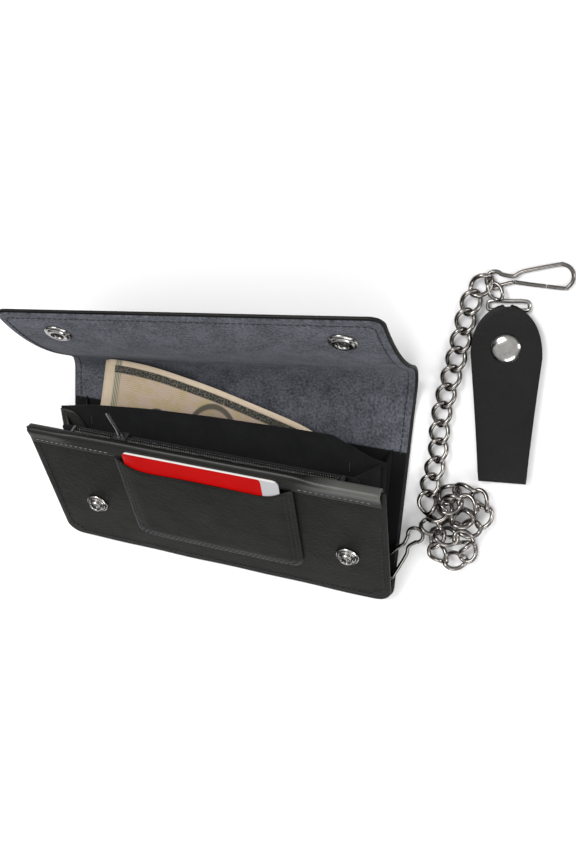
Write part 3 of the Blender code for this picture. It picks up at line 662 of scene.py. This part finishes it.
def sweep(x, s):
    """The lined face at x across the width and s along it from the bottom seam, and its normal."""
    if s <= BACK:
        return Vector((x, s, LINING_TOP)), Vector((0, 0, 1))
    if s >= BACK + FOLD:
        point, _, out = flap_point(s - BACK - FOLD)
        return point + ACROSS * x, out
    t = (s - BACK) / FOLD
    start, end = Vector((x, BACK, LINING_TOP)), ROOT + ACROSS * x
    reach = (end - start).length * 1.1
    leave, arrive = Vector((0.0, reach, 0.0)), ALONG * reach
    point = ((2 * t ** 3 - 3 * t ** 2 + 1) * start + (t ** 3 - 2 * t ** 2 + t) * leave
             + (3 * t ** 2 - 2 * t ** 3) * end + (t ** 3 - t ** 2) * arrive)
    slope = ((6 * t ** 2 - 6 * t) * start + (3 * t ** 2 - 4 * t + 1) * leave
             + (6 * t - 6 * t ** 2) * end + (3 * t ** 2 - 2 * t) * arrive)
    return point, Vector((1.0, 0.0, 0.0)).lerp(ACROSS, t).cross(slope).normalized()


def swept_sheet(name, inset, thickness, middle, look, edge):
    """A sheet of the whole back, fold and flap, inset from the leather's edge by so much, at that lift."""
    low, high, half = SEAM + inset, TIP - inset, WIDTH / 2 - inset
    corner = max(CORNER - inset, 1.0)

    def surface(u, s):
        x = u / half * (half - corner_cut(corner, min(s - low, high - s)))
        point, normal = sweep(x, s)
        ripple = 0.25 * math.sin(x / 17.0 + s / 23.0) * math.sin(s / 31.0) if s > BACK + FOLD * 0.6 else 0.0
        return point + normal * (middle + ripple)

    us = steps(-half, half, 56, 0.35)
    marks = (low, low + corner, BACK - 2, BACK + FOLD + 2, high - corner, high)
    vs = sorted({s for a, b, count in zip(marks, marks[1:], (6, 26, 26, 28, 6)) for s in steps(a, b, count)})
    return sheet(name, surface, us, vs, thickness, look, edge)


def edge_path(inset, start):
    """A path round the flap's three free edges at that inset, from the left of the fold to its right."""
    half, high, radius = WIDTH / 2 - inset, TIP - inset, EDGE_RADIUS
    turns = [(radius * math.cos(a), radius * math.sin(a)) for a in steps(0.2, math.pi / 2, 5)]
    marks = [(-half, s) for s in steps(start, high - radius, 90)]
    marks += [(-half + radius - across, high - radius + up) for across, up in turns]
    marks += [(x, high) for x in steps(-half + radius, half - radius, 90)[1:]]
    marks += [(half - radius + up, high - radius + across) for across, up in turns]
    marks += [(half, s) for s in steps(high - radius, start, 90)[1:]]
    found = [sweep(x, s) for x, s in marks]
    return [p for p, _ in found], [n for _, n in found]


def fold_blend(obj):
    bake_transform(obj)
    return obj


def make_cover():
    outer = swept_sheet("cover_leather", 0.0, LEATHER, -(LINING + 0.3 + LEATHER / 2), LEATHER_LOOK, 0.35)
    lining = LINING + 0.28
    inner = swept_sheet("cover_lining", 1.3, lining, -lining / 2, LINING_LOOK, 0.2)
    seam = stitches("cover_stitches", edge_path(4.6, 78.0), 0.02, DARK_THREAD, 3.0, 2.2, 0.26)
    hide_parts("back_leather", "fold_leather", "flap_leather")
    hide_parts("back_lining", "upper_back_lining", "fold_lining", "flap_lining")
    for obj, slot in ((outer, "leather"), (inner, "suede_lining"), (seam, "dark_lining")):
        fold_blend(obj)


def make_sockets():
    """Press-stud sockets in the flap: a rolled ring with its wire spring, and the cap outside."""
    point, along, out = flap_point(SOCKET_AT)
    for side, x in SNAP_X:
        place = axes((point + ACROSS * x) * MM, ACROSS, along, out)
        ring = [(2.9, 1.3), (3.2, 1.9), (3.9, 2.05), (4.9, 1.9), (5.5, 1.3), (6.3, 1.15), (6.9, 0.7),
                (7.0, 0.15), (3.0, 0.15)]
        socket = turned(f"socket_ring_{side}", ring, NICKEL, place)
        # A dark disc at the bottom of the socket's hole: the metal there, darkened as painted shade in the
        # hollow.
        shade_disc = turned(f"socket_shade_disc_{side}", [(0, 0.25), (3.1, 0.25), (3.1, 0.0), (0, 0.0)], GUNMETAL_AND_SHADE, place)
        springs = []
        for end, sign in (("a", -1), ("b", 1)):
            arc = [(sign * (1.75 + 0.5 * math.cos(a)), 2.5 * math.sin(a), 1.0) for a in steps(-1.3, 1.3, 10)]
            springs.append(wire(f"socket_spring_{side}_{end}", arc, 0.55, NICKEL, in_mm(place)))
        shell = -(LINING + LEATHER + 0.6) - 0.3
        crown = [(r, shell - z) for r, z in dome(7.1, 2.4, 0.0)]
        cap = turned(f"flap_cap_{side}", [*crown, (7.1, shell + 0.3), (0, shell + 0.3)], NICKEL, place)
        fit(socket, "nickel", "flap", f"snap_socket_{side}")
        fit(cap, "nickel", "flap", f"snap_cap_{side}")
        for obj in (shade_disc, *springs):
            fit(obj, "nickel", "flap")

# ---------------- front panel


def wave_edge(x):
    """The gentle waviness of the front's bottom edge."""
    return 0.5 * math.sin(x / 19.0) + 0.35 * math.sin(x / 7.3 + 1.0)


def front_swell(x, h):
    """How far the front bows out of its plane: it is fuller over the contents and flat along its edges."""
    across = max(0.0, 1 - (x / (WIDTH / 2)) ** 4)
    bow = 0.35 * across * math.sin(math.pi * min(1.0, max(0.0, h / FRONT)))
    return bow + 0.10 * math.sin(x / 23.0 + h / 29.0)


def make_front():
    half = WIDTH / 2

    def surface(u, h):
        x = u / half * (half - corner_cut(FRONT_CORNER, h))
        low = wave_edge(x) * max(0.0, 1 - h / 16.0) * 0.6
        return Vector((x, h + low, -LEATHER / 2 - 0.35 + front_swell(x, h)))

    vs = sorted({*steps(0.0, FRONT_CORNER, 10), *steps(FRONT_CORNER, FRONT, 34)})
    hide = sheet("front_panel", surface, steps(-half, half, 70, 0.3), vs, LEATHER, LEATHER_LOOK, 0.35,
                 FRONT_PLACE)
    fit(hide, "leather", "front", "front_leather")
    make_facing()
    make_front_seams()
    make_studs()
    make_pocket()
    make_card()


def make_facing():
    """The smooth band folded over the front's top edge."""
    half = WIDTH / 2 - 2.0
    rise = 0.75
    section = [(FACING_LOW, rise), (FACING_LOW + 3, rise + 0.1), (FRONT - 1.5, rise + 0.1),
               (FRONT + 0.2, rise - 0.1), (FRONT + 0.9, -0.2), (FRONT + 0.9, -1.5), (FRONT + 0.2, -2.3),
               (FRONT - 5.0, -2.3)]
    path = smooth_path([(0.0, y, z) for y, z in section], 0.7)

    def surface(u, v):
        at = path[round(v)]
        rolled = max(smoothstep(u, 50.0, 66.0), 0.55 * smoothstep(-u, 66.0, 80.0))
        near_top = math.exp(-((at.y - FRONT) / 4.2) ** 2)
        lift = rolled * near_top * (1.7 if at.z > -0.8 else -0.6)
        ripple = 0.12 * math.sin(u / 9.0) * math.sin(u / 31.0)
        return Vector((u, at.y + 0.5 * rolled * near_top, at.z + lift + ripple))

    us, vs = steps(-half, half, 60, 0.2), list(range(len(path)))
    band = sheet("facing_band", surface, us, vs, 0.6, FACING_LOOK, 0.18, FRONT_PLACE)
    fit(band, "leather", "front", "top_facing")


def upright(points):
    """A path for stitches, with the panel's own normal at each point."""
    return points, [Vector((0, 0, 1))] * len(points)


def straight(a, b, count=40):
    """A straight run of points on a panel, with the panel's normal."""
    return upright([Vector(a).lerp(Vector(b), i / count) for i in range(count + 1)])


def make_front_seams():
    half = WIDTH / 2
    seam = FACING_LOW + 2.2
    for side, a, b in (("left", -half + 5, POCKET[0] - 3), ("right", POCKET[1] + 3, half - 5)):
        path = straight((a, seam, 1.15), (b, seam, 1.15))
        row = stitches(f"facing_stitches_{side}", path, 0.0, PALE_THREAD, 2.9, 1.7, 0.2, FRONT_PLACE)
        fit(row, "dark_lining", "front")
    inset = 3.6
    corners = [(-half + inset, 76.0), (-half + inset, 10.0), (-half + 12.0, inset), (half - 12.0, inset),
               (half - inset, 10.0), (half - inset, 76.0)]
    path = smooth_path([(a[0] + (b[0] - a[0]) * k / 6, a[1] + (b[1] - a[1]) * k / 6, 0.0)
                        for a, b in zip(corners, corners[1:]) for k in range(6)], 1.5)
    path = [Vector((p.x, p.y, front_swell(p.x, p.y) - 0.35)) for p in path]
    row = stitches("front_edge_stitches", upright(path), 0.03, DARK_THREAD, 3.0, 2.2, 0.24, FRONT_PLACE)
    fit(row, "dark_lining", "front")


def make_studs():
    """Press studs on the front: a flanged ring and a waisted post with a dimple, riveted to a base behind."""
    for side, x in SNAP_X:
        place = FRONT_PLACE.copy()
        place.translation = FRONT_PLACE @ Vector((x, STUD_AT, 0.0)) * MM
        post = [(0, 1.5), (2.1, 1.5), (2.35, 3.2), (2.7, 3.6), (3.3, 3.45), (3.75, 2.8), (3.65, 2.1),
                (3.4, 1.7), (4.4, 1.6), (4.7, 1.2), (5.5, 1.25), (6.0, 0.95), (6.25, 0.5), (6.2, 0.32),
                (1.9, 0.32), (1.9, -3.4), (0, -3.4)]
        stud = turned(f"stud_{side}", post, NICKEL, place)
        disc = [(0, 1.75), (2.05, 1.75), (2.05, 1.52), (0, 1.52)]
        # A dark disc in the post's dimple: the metal there, darkened as painted shade in the hollow.
        shade_disc = turned(f"stud_shade_disc_{side}", disc, GUNMETAL_AND_SHADE, place)
        curl = [(1.5 * math.sin(a) * (1 if a < 0 else 1), 1.7 * math.cos(a / 2) * (1 if a < 0 else -1), 2.3)
                for a in steps(-3.0, 3.0, 20)]
        spring = wire(f"stud_spring_{side}", curl, 0.6, NICKEL, in_mm(place))
        fit(shade_disc, "nickel", "front")
        fit(spring, "nickel", "front")
        fit(stud, "nickel", "front", f"snap_stud_{side}")


def pocket_outline(u, v):
    """The card pocket's point for u across and v up it, both from 0 to 1, with its thumb cut."""
    left, right, low, high = POCKET
    cut = corner_cut(POCKET_CORNER, v * (high - low))
    x = left + cut + (right - left - 2 * cut) * u
    dip = 7.6 * math.exp(-(((x - 1.7) / 43.0) ** 10)) * (1 - 0.12 * math.cos(x / 22.0))
    return x, low + (high - dip - low) * v


def pocket_swell(u, v):
    """How far the pocket stands out over its contents, for u across and v up it, both from 0 to 1."""
    return POCKET_SWELL * min(1.0, 14 * u * (1 - u)) ** 0.6 * min(1.0, 9 * v) ** 0.6


def make_pocket():
    across, up = 100, 64

    def surface(u, v):
        x, y = pocket_outline(u / across, v / up)
        return Vector((x, y, 0.75 + pocket_swell(u / across, v / up)))

    us = [u * across for u in steps(0.0, 1.0, 44, 0.3)]
    vs = [v * up for v in sorted({*steps(0.0, 0.15, 10), *steps(0.15, 1.0, 26)})]
    patch = sheet("pocket_patch", surface, us, vs, 0.9, LEATHER_LOOK, 0.25, FRONT_PLACE)
    fit(patch, "leather", "front", "card_pocket")
    for k, inset in enumerate((2.0, 4.2)):
        left, right, low, high = POCKET[0] + inset, POCKET[1] - inset, POCKET[2] + inset, POCKET[3] - 2
        radius = 6.5
        turns = [(radius * math.cos(a), radius * math.sin(a)) for a in steps(0.2, 1.4, 5)]
        marks = [(left, y) for y in steps(high, low + radius, 24)]
        marks += [(left + radius - c, low + radius - s) for c, s in turns]
        marks += [(x, low) for x in steps(left + radius, right - radius, 34)]
        marks += [(right - radius + s, low + radius - c) for c, s in turns]
        marks += [(right, y) for y in steps(low + radius, high, 24)]
        wide, tall = POCKET[1] - POCKET[0], POCKET[3] - POCKET[2]
        path = [Vector((x, y, 1.2 + pocket_swell((x - POCKET[0]) / wide, (y - POCKET[2]) / tall)))
                for x, y in marks]
        row = stitches(f"pocket_stitches_{k}", upright(path), 0.0, DARK_THREAD, 2.7, 1.9, 0.22, FRONT_PLACE)
        fit(row, "dark_lining", "front")


def make_card():
    left, right, low, high = CARD
    width, height, corner = right - left, high - low, CARD_CORNER

    def surface(u, v):
        cut = corner_cut(corner, min(v, height - v))
        x = cut + (width - 2 * cut) * u / width
        return Vector((left + x, low + v, 1.63))

    us = steps(0.0, width, 10)
    vs = sorted({*steps(0, corner, 8), *steps(corner, height - corner, 4),
                 *steps(height - corner, height, 8)})
    card = sheet("plain_card", surface, us, vs, CARD_THICKNESS, card_face(), 0.08, FRONT_PLACE)
    fit(card, "card_plastic", "card", "bank_card")

# ---------------- zip


def zip_place():
    across = Matrix(((1, 0, 0, 0), (0, 0, 1, ZIP_AT[0]), (0, -1, 0, ZIP_AT[1]), (0, 0, 0, 1)))
    return FRONT_PLACE @ across


def make_zip():
    """Coil teeth on two tapes, closed along their whole length."""
    place = zip_place()
    for side, sign in (("front", -1), ("rear", 1)):
        tape = sheet(f"tape_{side}", lambda u, v: Vector((u, sign * v, 0.3 + 0.05 * math.sin(u / 5.0))),
                     steps(*ZIP, 60), steps(0.5, 3.2, 4), 0.55, TAPE, 0.1, place)
        bm = bmesh.new()
        for i in range(int((ZIP[1] - ZIP[0] - 5.0) / TOOTH_PITCH)):
            x = ZIP[0] + 2.5 + i * TOOTH_PITCH + (0.5 * TOOTH_PITCH if sign > 0 else 0.0)
            tube(bm, [place @ Vector((x + ahead, sign * out, z)) for ahead, out, z in TOOTH], 0.3, 6)
        teeth = final(f"teeth_{side}", bm, GUNMETAL_AND_SHADE)
        fit(tape, "dark_lining", "front", f"zip_tape_{side}")
        fit(teeth, "nickel", "front", f"zip_teeth_{side}")
    fit(make_pull(), "nickel", "pull", "zip_pull")


def make_pull():
    """A long narrow loop of wire, wider at the slider than at its free end."""
    pivot = Vector((SLIDER, ZIP_AT[0] + 4.6, ZIP_AT[1]))
    place = FRONT_PLACE @ Matrix.Translation(pivot) @ Matrix.Rotation(PULL_LEAN, 4, "Z")
    side = ((0, 1.3), (2.0, 1.1), (5, 0.62), (13.0, 0.55), (14.4, 0.3))
    loop = [(0, 0, -1.3), *[(0, y, z) for y, z in side], *[(0, y, -z) for y, z in side[:0:-1]], (0, 0, -1.3)]
    return wire("pull_loop", smooth_path(loop, 0.6)[:-1], 1.15, GUNMETAL_AND_SHADE, place, True)

# ---------------- partition, gussets, note


def make_partition():
    half, length = PARTITION

    def surface(u, v):
        bow = 0.35 * math.sin(u / 21.0) * v / length
        rise = np.interp(u / half, *zip(*PARTITION_RISE))
        return Vector((u, v * (length + rise) / length, -0.45 + bow))

    us, vs = steps(-half, half, 60), steps(3.0, length, 22)
    wall = sheet("divider_suede", surface, us, vs, 0.9, BLACK_SUEDE, 0.3, PARTITION_PLACE)
    fit(wall, "dark_lining", "divider", "partition")
    for side, sign in (("l", -1), ("r", 1)):
        for k, (share, below) in enumerate(((0.93, 6.0), (0.80, 3.0))):
            x, high = sign * half * share, length - below
            row = stitches(f"bar_tack_{side}_{k}", straight((x, high - 5.0, 0.0), (x, high, 0.0), 8), 0.12,
                           DIM_THREAD, 1.3, 0.9, 0.2, PARTITION_PLACE)
            fit(row, "dark_lining", "divider")


def leaf(name, lower, upper, hollow, bow, look):
    """A gusset leaf from one panel to the next. lower and upper give the point on each at v, from 0 to 1."""
    def surface(u, v):
        t, up = u / 20, v / 60
        a, b = lower(up), upper(up)
        middle = 4 * t * (1 - t)
        point = a.lerp(b, t).lerp(lower(0.0), hollow * middle * up ** 2)
        return point + Vector((bow * middle * up, 0, 0))

    return sheet(name, surface, steps(0.0, 20.0, 16), steps(0.0, 60.0, 26), 0.8, look, 0.2)


def seam_line(place, x, high, lift):
    """Where a gusset is sewn to a panel, as a function of how far up its seam, from 0 to 1."""
    return lambda v: place @ Vector((x, GUSSET_FOOT + (high - GUSSET_FOOT) * v, lift))


def front_seam(sign):
    """The coin gusset's seam on the front, which runs in to the end of the zip."""
    return lambda v: FRONT_PLACE @ Vector((sign * (90.0 - 14.5 * v ** 1.6),
                                           GUSSET_FOOT + (85.5 - GUSSET_FOOT) * v, -2.8 - 2.6 * v))


def make_gussets():
    """Leaves at both ends of the two compartments."""
    for side, sign, coin_look in (("left", -1, LEATHER_LOOK), ("right", 1, BLACK_SUEDE)):
        x = sign * GUSSET_AT
        coin = leaf(f"coin_leaf_{side}", seam_line(PARTITION_PLACE, x, 84.0, 0.35), front_seam(sign),
                    0.14 if sign < 0 else 0.02, -sign * 1.5, coin_look)
        bill = leaf(f"bill_leaf_{side}", seam_line(FLAT, x, 81.0, LINING_TOP + 0.4),
                    seam_line(PARTITION_PLACE, x, 82.0, -1.3), 0.22, -sign * 4.0, BLACK_SUEDE)
        fit(coin, "leather", "back", f"coin_gusset_{side}")
        fit(bill, "leather", "back", f"bill_gusset_{side}")
        for obj, joint, low, keep in ((coin, "front_close", 0.008, 0.46),
                                      (bill, "divider_close", 0.0025, 0.62)):
            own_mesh(obj)


def make_cheek():
    """The left gusset's flat part, sewn to the partition, with a quarter-round free edge, in a paler leather
    that paints light on it.
    """
    across, narrow, tall = 15.0, 3.5, 14.0

    def surface(u, v):
        width = narrow + (across - narrow) * math.sqrt(max(0.0, 1 - (v / tall) ** 2))
        t = u / across
        return PARTITION_PLACE @ Vector((t * width - 91.0, 70.0 + v, 0.9 + 0.6 * math.sin(math.pi * t)))

    us, vs = steps(0.0, across, 12), steps(0.0, tall, 16)
    cheek = sheet("gusset_cheek", surface, us, vs, 0.8, LIT_CHEEK_LEATHER, 0.2)
    fit(cheek, "leather", "divider")


def make_note():
    """The banknote, arched within its own plane with its upper left corner lifted."""
    length, height = NOTE
    place = (Matrix.Translation(NOTE_CENTRE) @ Matrix.Rotation(NOTE_TILT, 4, "X")
             @ Matrix.Rotation(NOTE_TURN, 4, "Z"))

    def surface(u, v):
        wave = 0.18 * math.sin(u / 14.0) + 0.12 * math.sin(u / 6.0 + v / 10.0)
        curl = 1.5 * (v / height) ** 2 * (1 - smoothstep(u, 0.0, 34.0))
        arch = -0.5 + 5.6 * math.sin(math.pi * (u / length) ** 0.6) - 6.5 * smoothstep(u, 110.0, length)
        return Vector((u - length / 2, v - height / 2 + arch, wave + curl))

    us, vs = steps(0.0, length, 60), steps(0.0, height, 24)
    note = sheet("printed_note", surface, us, vs, 0.12, note_print(), 0.0, place)
    fit(note, "note_paper", "note", "banknote")

# ---------------- chain, hooks and fob


RUN = [
    (110.3, 66.0), (110.9, 70.0), (111.9, 77.5), (112.2, 85.0), (111.8, 92.5), (111.6, 101.0),
    (112.3, 110.0),
    (113.4, 118.8), (114.8, 128.0), (116.0, 137.4), (117.0, 146.0), (117.6, 152.5), (118.6, 158.5),
    (120.0, 163.4),
]
HEAP = [
    (110.6, 43.4, 5.0), (115.0, 45.5, 7.5), (121.5, 42.0, 8.6), (128.5, 43.0, 8.2), (134.0, 38.5, 4.0),
    (133.0, 31.0, 2.9), (126.5, 27.0, 2.9), (119.5, 29.0, 2.9), (116.5, 35.5, 2.9), (119.5, 41.8, 2.8),
    (127.0, 45.5, 2.8), (134.5, 47.5, 2.9), (138.6, 53.5, 2.9), (138.4, 60.5, 2.9), (133.5, 66.0, 2.9),
    (126.5, 66.0, 3.2), (120.5, 63.0, 3.2), (119.5, 56.0, 3.6), (124.5, 51.5, 6.0), (131.0, 53.5, 7.2),
    (131.5, 60.0, 7.4), (125.5, 61.0, 8.0), (119.5, 56.5, 8.0), (114.5, 51.5, 6.0), (110.6, 54.5, 3.8),
    (110.2, 60.5, 2.9),
]


def link_points(place, half_length=5.9, half_width=4.35, twist=math.radians(42)):
    """A curb link: an oval twisted along its length, so that the next one lies flat in it."""
    points = []
    for i in range(28):
        a = 2 * math.pi * i / 28
        x, y = half_length * math.cos(a), half_width * math.sin(a)
        turn = twist * x / half_length
        points.append(place @ Vector((x, y * math.cos(turn), y * math.sin(turn))))
    return points


def make_chain():
    run = [(x, y, 2.9) for x, y in RUN]
    route = smooth_path([*HEAP, *run, (122.6, 168.6, 2.9), (126.6, 171.4, 2.4)], 0.5)
    far = distances(route)
    at = between(far, route)
    count = int(far[-1] // PITCH)
    bm = bmesh.new()
    for i in range(count):
        middle = (i + 0.5) * far[-1] / count
        along = (at(middle + 3.0) - at(middle - 3.0)).normalized()
        loose = 0.75 if middle < far[-1] * HEAP_SHARE else 0.14
        roll = rng.uniform(-loose, loose)
        side = Vector((0, 0, 1)).cross(along).normalized()
        up = along.cross(side)
        turned_side = side * math.cos(roll) + up * math.sin(roll)
        place = axes(at(middle), along, turned_side, along.cross(turned_side))
        points = link_points(place)
        under = FLOOR_GAP - (min(p.z for p in points) - LINK_FOOT)
        if under > 0:
            points = [p + Vector((0, 0, under)) for p in points]
        tube(bm, points, LINK_RADIUS, 10, True)
    chain = final("chain_links", bm, CHAIN_LOOK)
    make_joining_link()
    fit(chain, "nickel", "back", "chain_run", "chain_heap")
    path = [tuple(p * MM) for p in smooth_path(route[::6], 3.0)]


def make_joining_link():
    """The small link between the chain's last link and the fob's ring."""
    place = axes(Vector((129.6, 166.6, 2.6)), Vector((0.68, -0.73, 0.1)).normalized(),
                 Vector((0.73, 0.68, 0.0)), Vector((0.0, 0.0, 1.0)))
    link = wire("joining_link", link_points(FLAT, 4.6, 3.0, 0.5), 1.8, CHAIN_LOOK, place, True)
    fit(link, "nickel", "back")


def circle_part(x, diameter, low, high, count):
    """Points of a circle centred on the X axis at x, between two angles in degrees."""
    radius = diameter / 2
    return [(x + radius * math.cos(a), radius * math.sin(a))
            for a in steps(math.radians(low), math.radians(high), count)]


def hook_points(length):
    """A trigger hook's bent wire in its own plane, from the open mouth round to the neck."""
    neck = 0.32 * length
    return [(0.70 * length, -HOOK_WIDE * 0.36), *circle_part(length - HOOK_WIDE / 2, HOOK_WIDE, -70, 90, 16),
            (neck + 5, 3.4), (neck, 1.4), *circle_part(HOOK_EYE / 2, HOOK_EYE, 40, 320, 22), (neck, -1.4)]


HOOKS = (("a", Vector((108.5, 41.5, 6.0)), Vector((89.2, 9.8, 3.08))),
         ("b", Vector((124.6, 171.0, 1.2)), Vector((163.6, 177.4, 1.2))))


def make_hooks():
    for name, start, end in HOOKS:
        along = (end - start).normalized()
        side = Vector((0, 0, 1)).cross(along).normalized()
        place = axes(start, along, side, along.cross(side))
        length = (end - start).length
        line = smooth_path([(x, y, 0.0) for x, y in hook_points(length)], 0.6)
        bent = wire(f"hook_{name}_bent_wire", line, WIRE, HOOK_LOOK, place)
        spring = [(0.325 * length, -1.4, 0.0), (0.5 * length, -2.75, 0.0),
                  (0.69 * length, -HOOK_WIDE * 0.352, 0.0)]
        gate = wire(f"hook_{name}_gate", smooth_path(spring, 0.8), WIRE, HOOK_LOOK, place)
        fit(bent, "nickel", "back", f"hook_{name}_wire")
        fit(gate, "nickel", f"gate_{name}", f"hook_{name}_arm")


def fob_half_width(t):
    """Half the fob's width at t of its length: it widens up to the shoulder, then ends round."""
    shoulder, narrow, wide = 0.74, 11.4, 16.5
    if t > shoulder:
        return wide * math.sqrt(max(0.004, 1 - ((t - shoulder) / (1 - shoulder)) ** 2.2))
    return narrow + (wide - narrow) * (t / shoulder) ** 1.2


def make_fob():
    """One strap folded at the bottom over its ring, closed by a domed snap near the round end."""
    along = (FOB_TOP - FOB_FOLD).normalized()
    side = along.cross(Vector((0, 0, 1)))
    length = (FOB_TOP - FOB_FOLD).length
    place = axes(FOB_FOLD, side, along, Vector((0, 0, 1)))
    radius = FOB_LEATHER + FOB_GAP / 2
    middle = radius - FOB_LEATHER / 2
    bend = math.pi * middle
    rear, front = length * 0.965 - radius, length - radius
    total = rear + bend + front

    def surface(u, s):
        if s < rear:
            y, z = radius + rear - s, FOB_LEATHER / 2
        elif s < rear + bend:
            a = (s - rear) / middle
            y, z = radius - middle * math.sin(a), radius - middle * math.cos(a)
        else:
            y, z = radius + s - rear - bend, radius * 2 - FOB_LEATHER / 2
        top = rear + radius if s < rear else length
        wide = fob_half_width(min(1.0, max(0.0, y / top)) * 0.9985)
        crown = 0.5 * (1 - (u / 100) ** 4) if s > rear + bend else 0.0
        return Vector((u / 100 * wide, y, z + crown))

    vs = sorted({*steps(0.0, 18.0, 26), *steps(18.0, rear, 18), *steps(rear, rear + bend, 14),
                 *steps(rear + bend, total - 18.0, 22), *steps(total - 18.0, total, 30)})
    us = steps(-100.0, 100.0, 22, 0.4)
    strap = sheet("fob_strap", surface, us, vs, FOB_LEATHER, EDGE_LEATHER, 0.8, place)
    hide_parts("fob_rear_leaf", "fob_fold", "fob_front_leaf")
    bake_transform(strap)
    snap = axes((FOB_FOLD + along * 0.775 * length) * MM, side, along, Vector((0, 0, 1)))
    top = radius * 2 + 0.45
    cap = turned("fob_cap", [*dome(7.2, 2.3, top), (7.1, top - 0.1), (0, top - 0.1)], NICKEL, snap)
    fit(cap, "nickel", "fob_cover", "fob_snap_cap")
    ring = wire("ring_frame", smooth_path(ring_loop(length), 0.8)[:-1], WIRE, NICKEL, place, True)
    fit(ring, "nickel", "back", "fob_ring")


def ring_loop(length):
    """The fob's flat ring, from its lower left corner round to it again."""
    low, high, half, corner = length * 0.965 + 1.5, length + 2.2, 9.6, 1.5
    side = [(half, low), (half, high - corner), (half - corner, high)]
    outline = [*[(-x, y) for x, y in side], (0, high), *side[::-1], (half - corner, low - 0.5),
               (0, low - 0.5), (-half + corner, low - 0.5), (-half, low)]
    return [(x, y, 1.0) for x, y in outline]

# ---------------- carried-over CAD nodes, stage and camera


def dress(node, look):
    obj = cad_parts[node]
    obj.data.materials.clear()
    obj.data.materials.append(look)


CAMERA_LENS = 39.149
CAMERA_AT = Vector((0.18175, 0.22943, 0.45234))
CAMERA_RIGHT = Vector((0.93944, 0.07022, -0.33543))
CAMERA_UP = Vector((-0.16427, 0.95128, -0.26094))


def make_camera():
    data = bpy.data.cameras.new("camera")
    data.lens, data.sensor_width = CAMERA_LENS, 36.0
    camera = bpy.data.objects.new("camera", data)
    bpy.context.scene.collection.objects.link(camera)
    camera.matrix_world = axes(CAMERA_AT, CAMERA_RIGHT, CAMERA_UP, CAMERA_RIGHT.cross(CAMERA_UP))
    bpy.context.scene.camera = camera


def area_light(name, at, target, size, power, colour=(1, 1, 1)):
    data = bpy.data.lights.new(name, "AREA")
    data.shape = "RECTANGLE"
    data.size, data.size_y = size
    data.energy = power
    data.color = colour
    lamp = bpy.data.objects.new(name, data)
    bpy.context.scene.collection.objects.link(lamp)
    turn = (Vector(target) - Vector(at)).to_track_quat("-Z", "Y").to_matrix().to_4x4()
    lamp.matrix_world = Matrix.Translation(at) @ turn


def make_studio():
    bm = bmesh.new()
    bmesh.ops.create_grid(bm, x_segments=1, y_segments=1, size=1.5)
    m = Nodes("pale_floor", (0.90, 0.90, 0.90), 0.85)
    m.drive(m.spread(m.noise(m.place("Object"), 9.0, 2.0), 0.8, 0.9), "Roughness")
    floor = final("floor", bm, m.material, False)
    floor.location.z = -0.0004
    world = bpy.data.worlds.new("studio")
    world.use_nodes = True
    tree = world.node_tree
    at, split, ramp = [tree.nodes.new("ShaderNode" + kind)
                       for kind in ("TexCoord", "SeparateXYZ", "ValToRGB")]
    ground, sky = ramp.color_ramp.elements
    ground.position, ground.color = 0.30, (0.05, 0.05, 0.055, 1.0)
    sky.position, sky.color = 0.80, (1.0, 1.0, 1.0, 1.0)
    tree.links.new(at.outputs["Generated"], split.inputs[0])
    tree.links.new(split.outputs["Z"], ramp.inputs[0])
    tree.links.new(ramp.outputs[0], tree.nodes["Background"].inputs["Color"])
    tree.nodes["Background"].inputs["Strength"].default_value = 1.0
    bpy.context.scene.world = world
    bpy.context.scene.view_settings.view_transform = "Standard"
    middle = (0.02, 0.07, 0.02)
    area_light("key", (-0.25, 0.45, 0.75), middle, (0.4, 0.4), 5.0)
    area_light("front", (0.35, -0.5, 0.55), middle, (0.5, 0.3), 2.5)
    area_light("right", (0.75, 0.25, 0.35), middle, (0.2, 0.4), 1.5)


make_camera()
make_hooks()
make_fob()
make_chain()
make_cover()
make_sockets()
make_front()
make_zip()
make_partition()
make_gussets()
make_cheek()
make_note()
for node in ("front_lining", "coin_pocket_wall"):
    dress(node, suede(f"{node}_look", (0.006, 0.006, 0.006), kind="Object"))
for node in ("zip_slider", "zip_bridge", "zip_stop_left", "zip_stop_right"):
    dress(node, SLIDER_METAL)
for node in ("snap_stud_base_left", "snap_stud_base_right", "fob_snap_stud"):
    dress(node, NICKEL)
dress("chain_tab", leather("keeper_leather", kind="Object"))
make_studio()
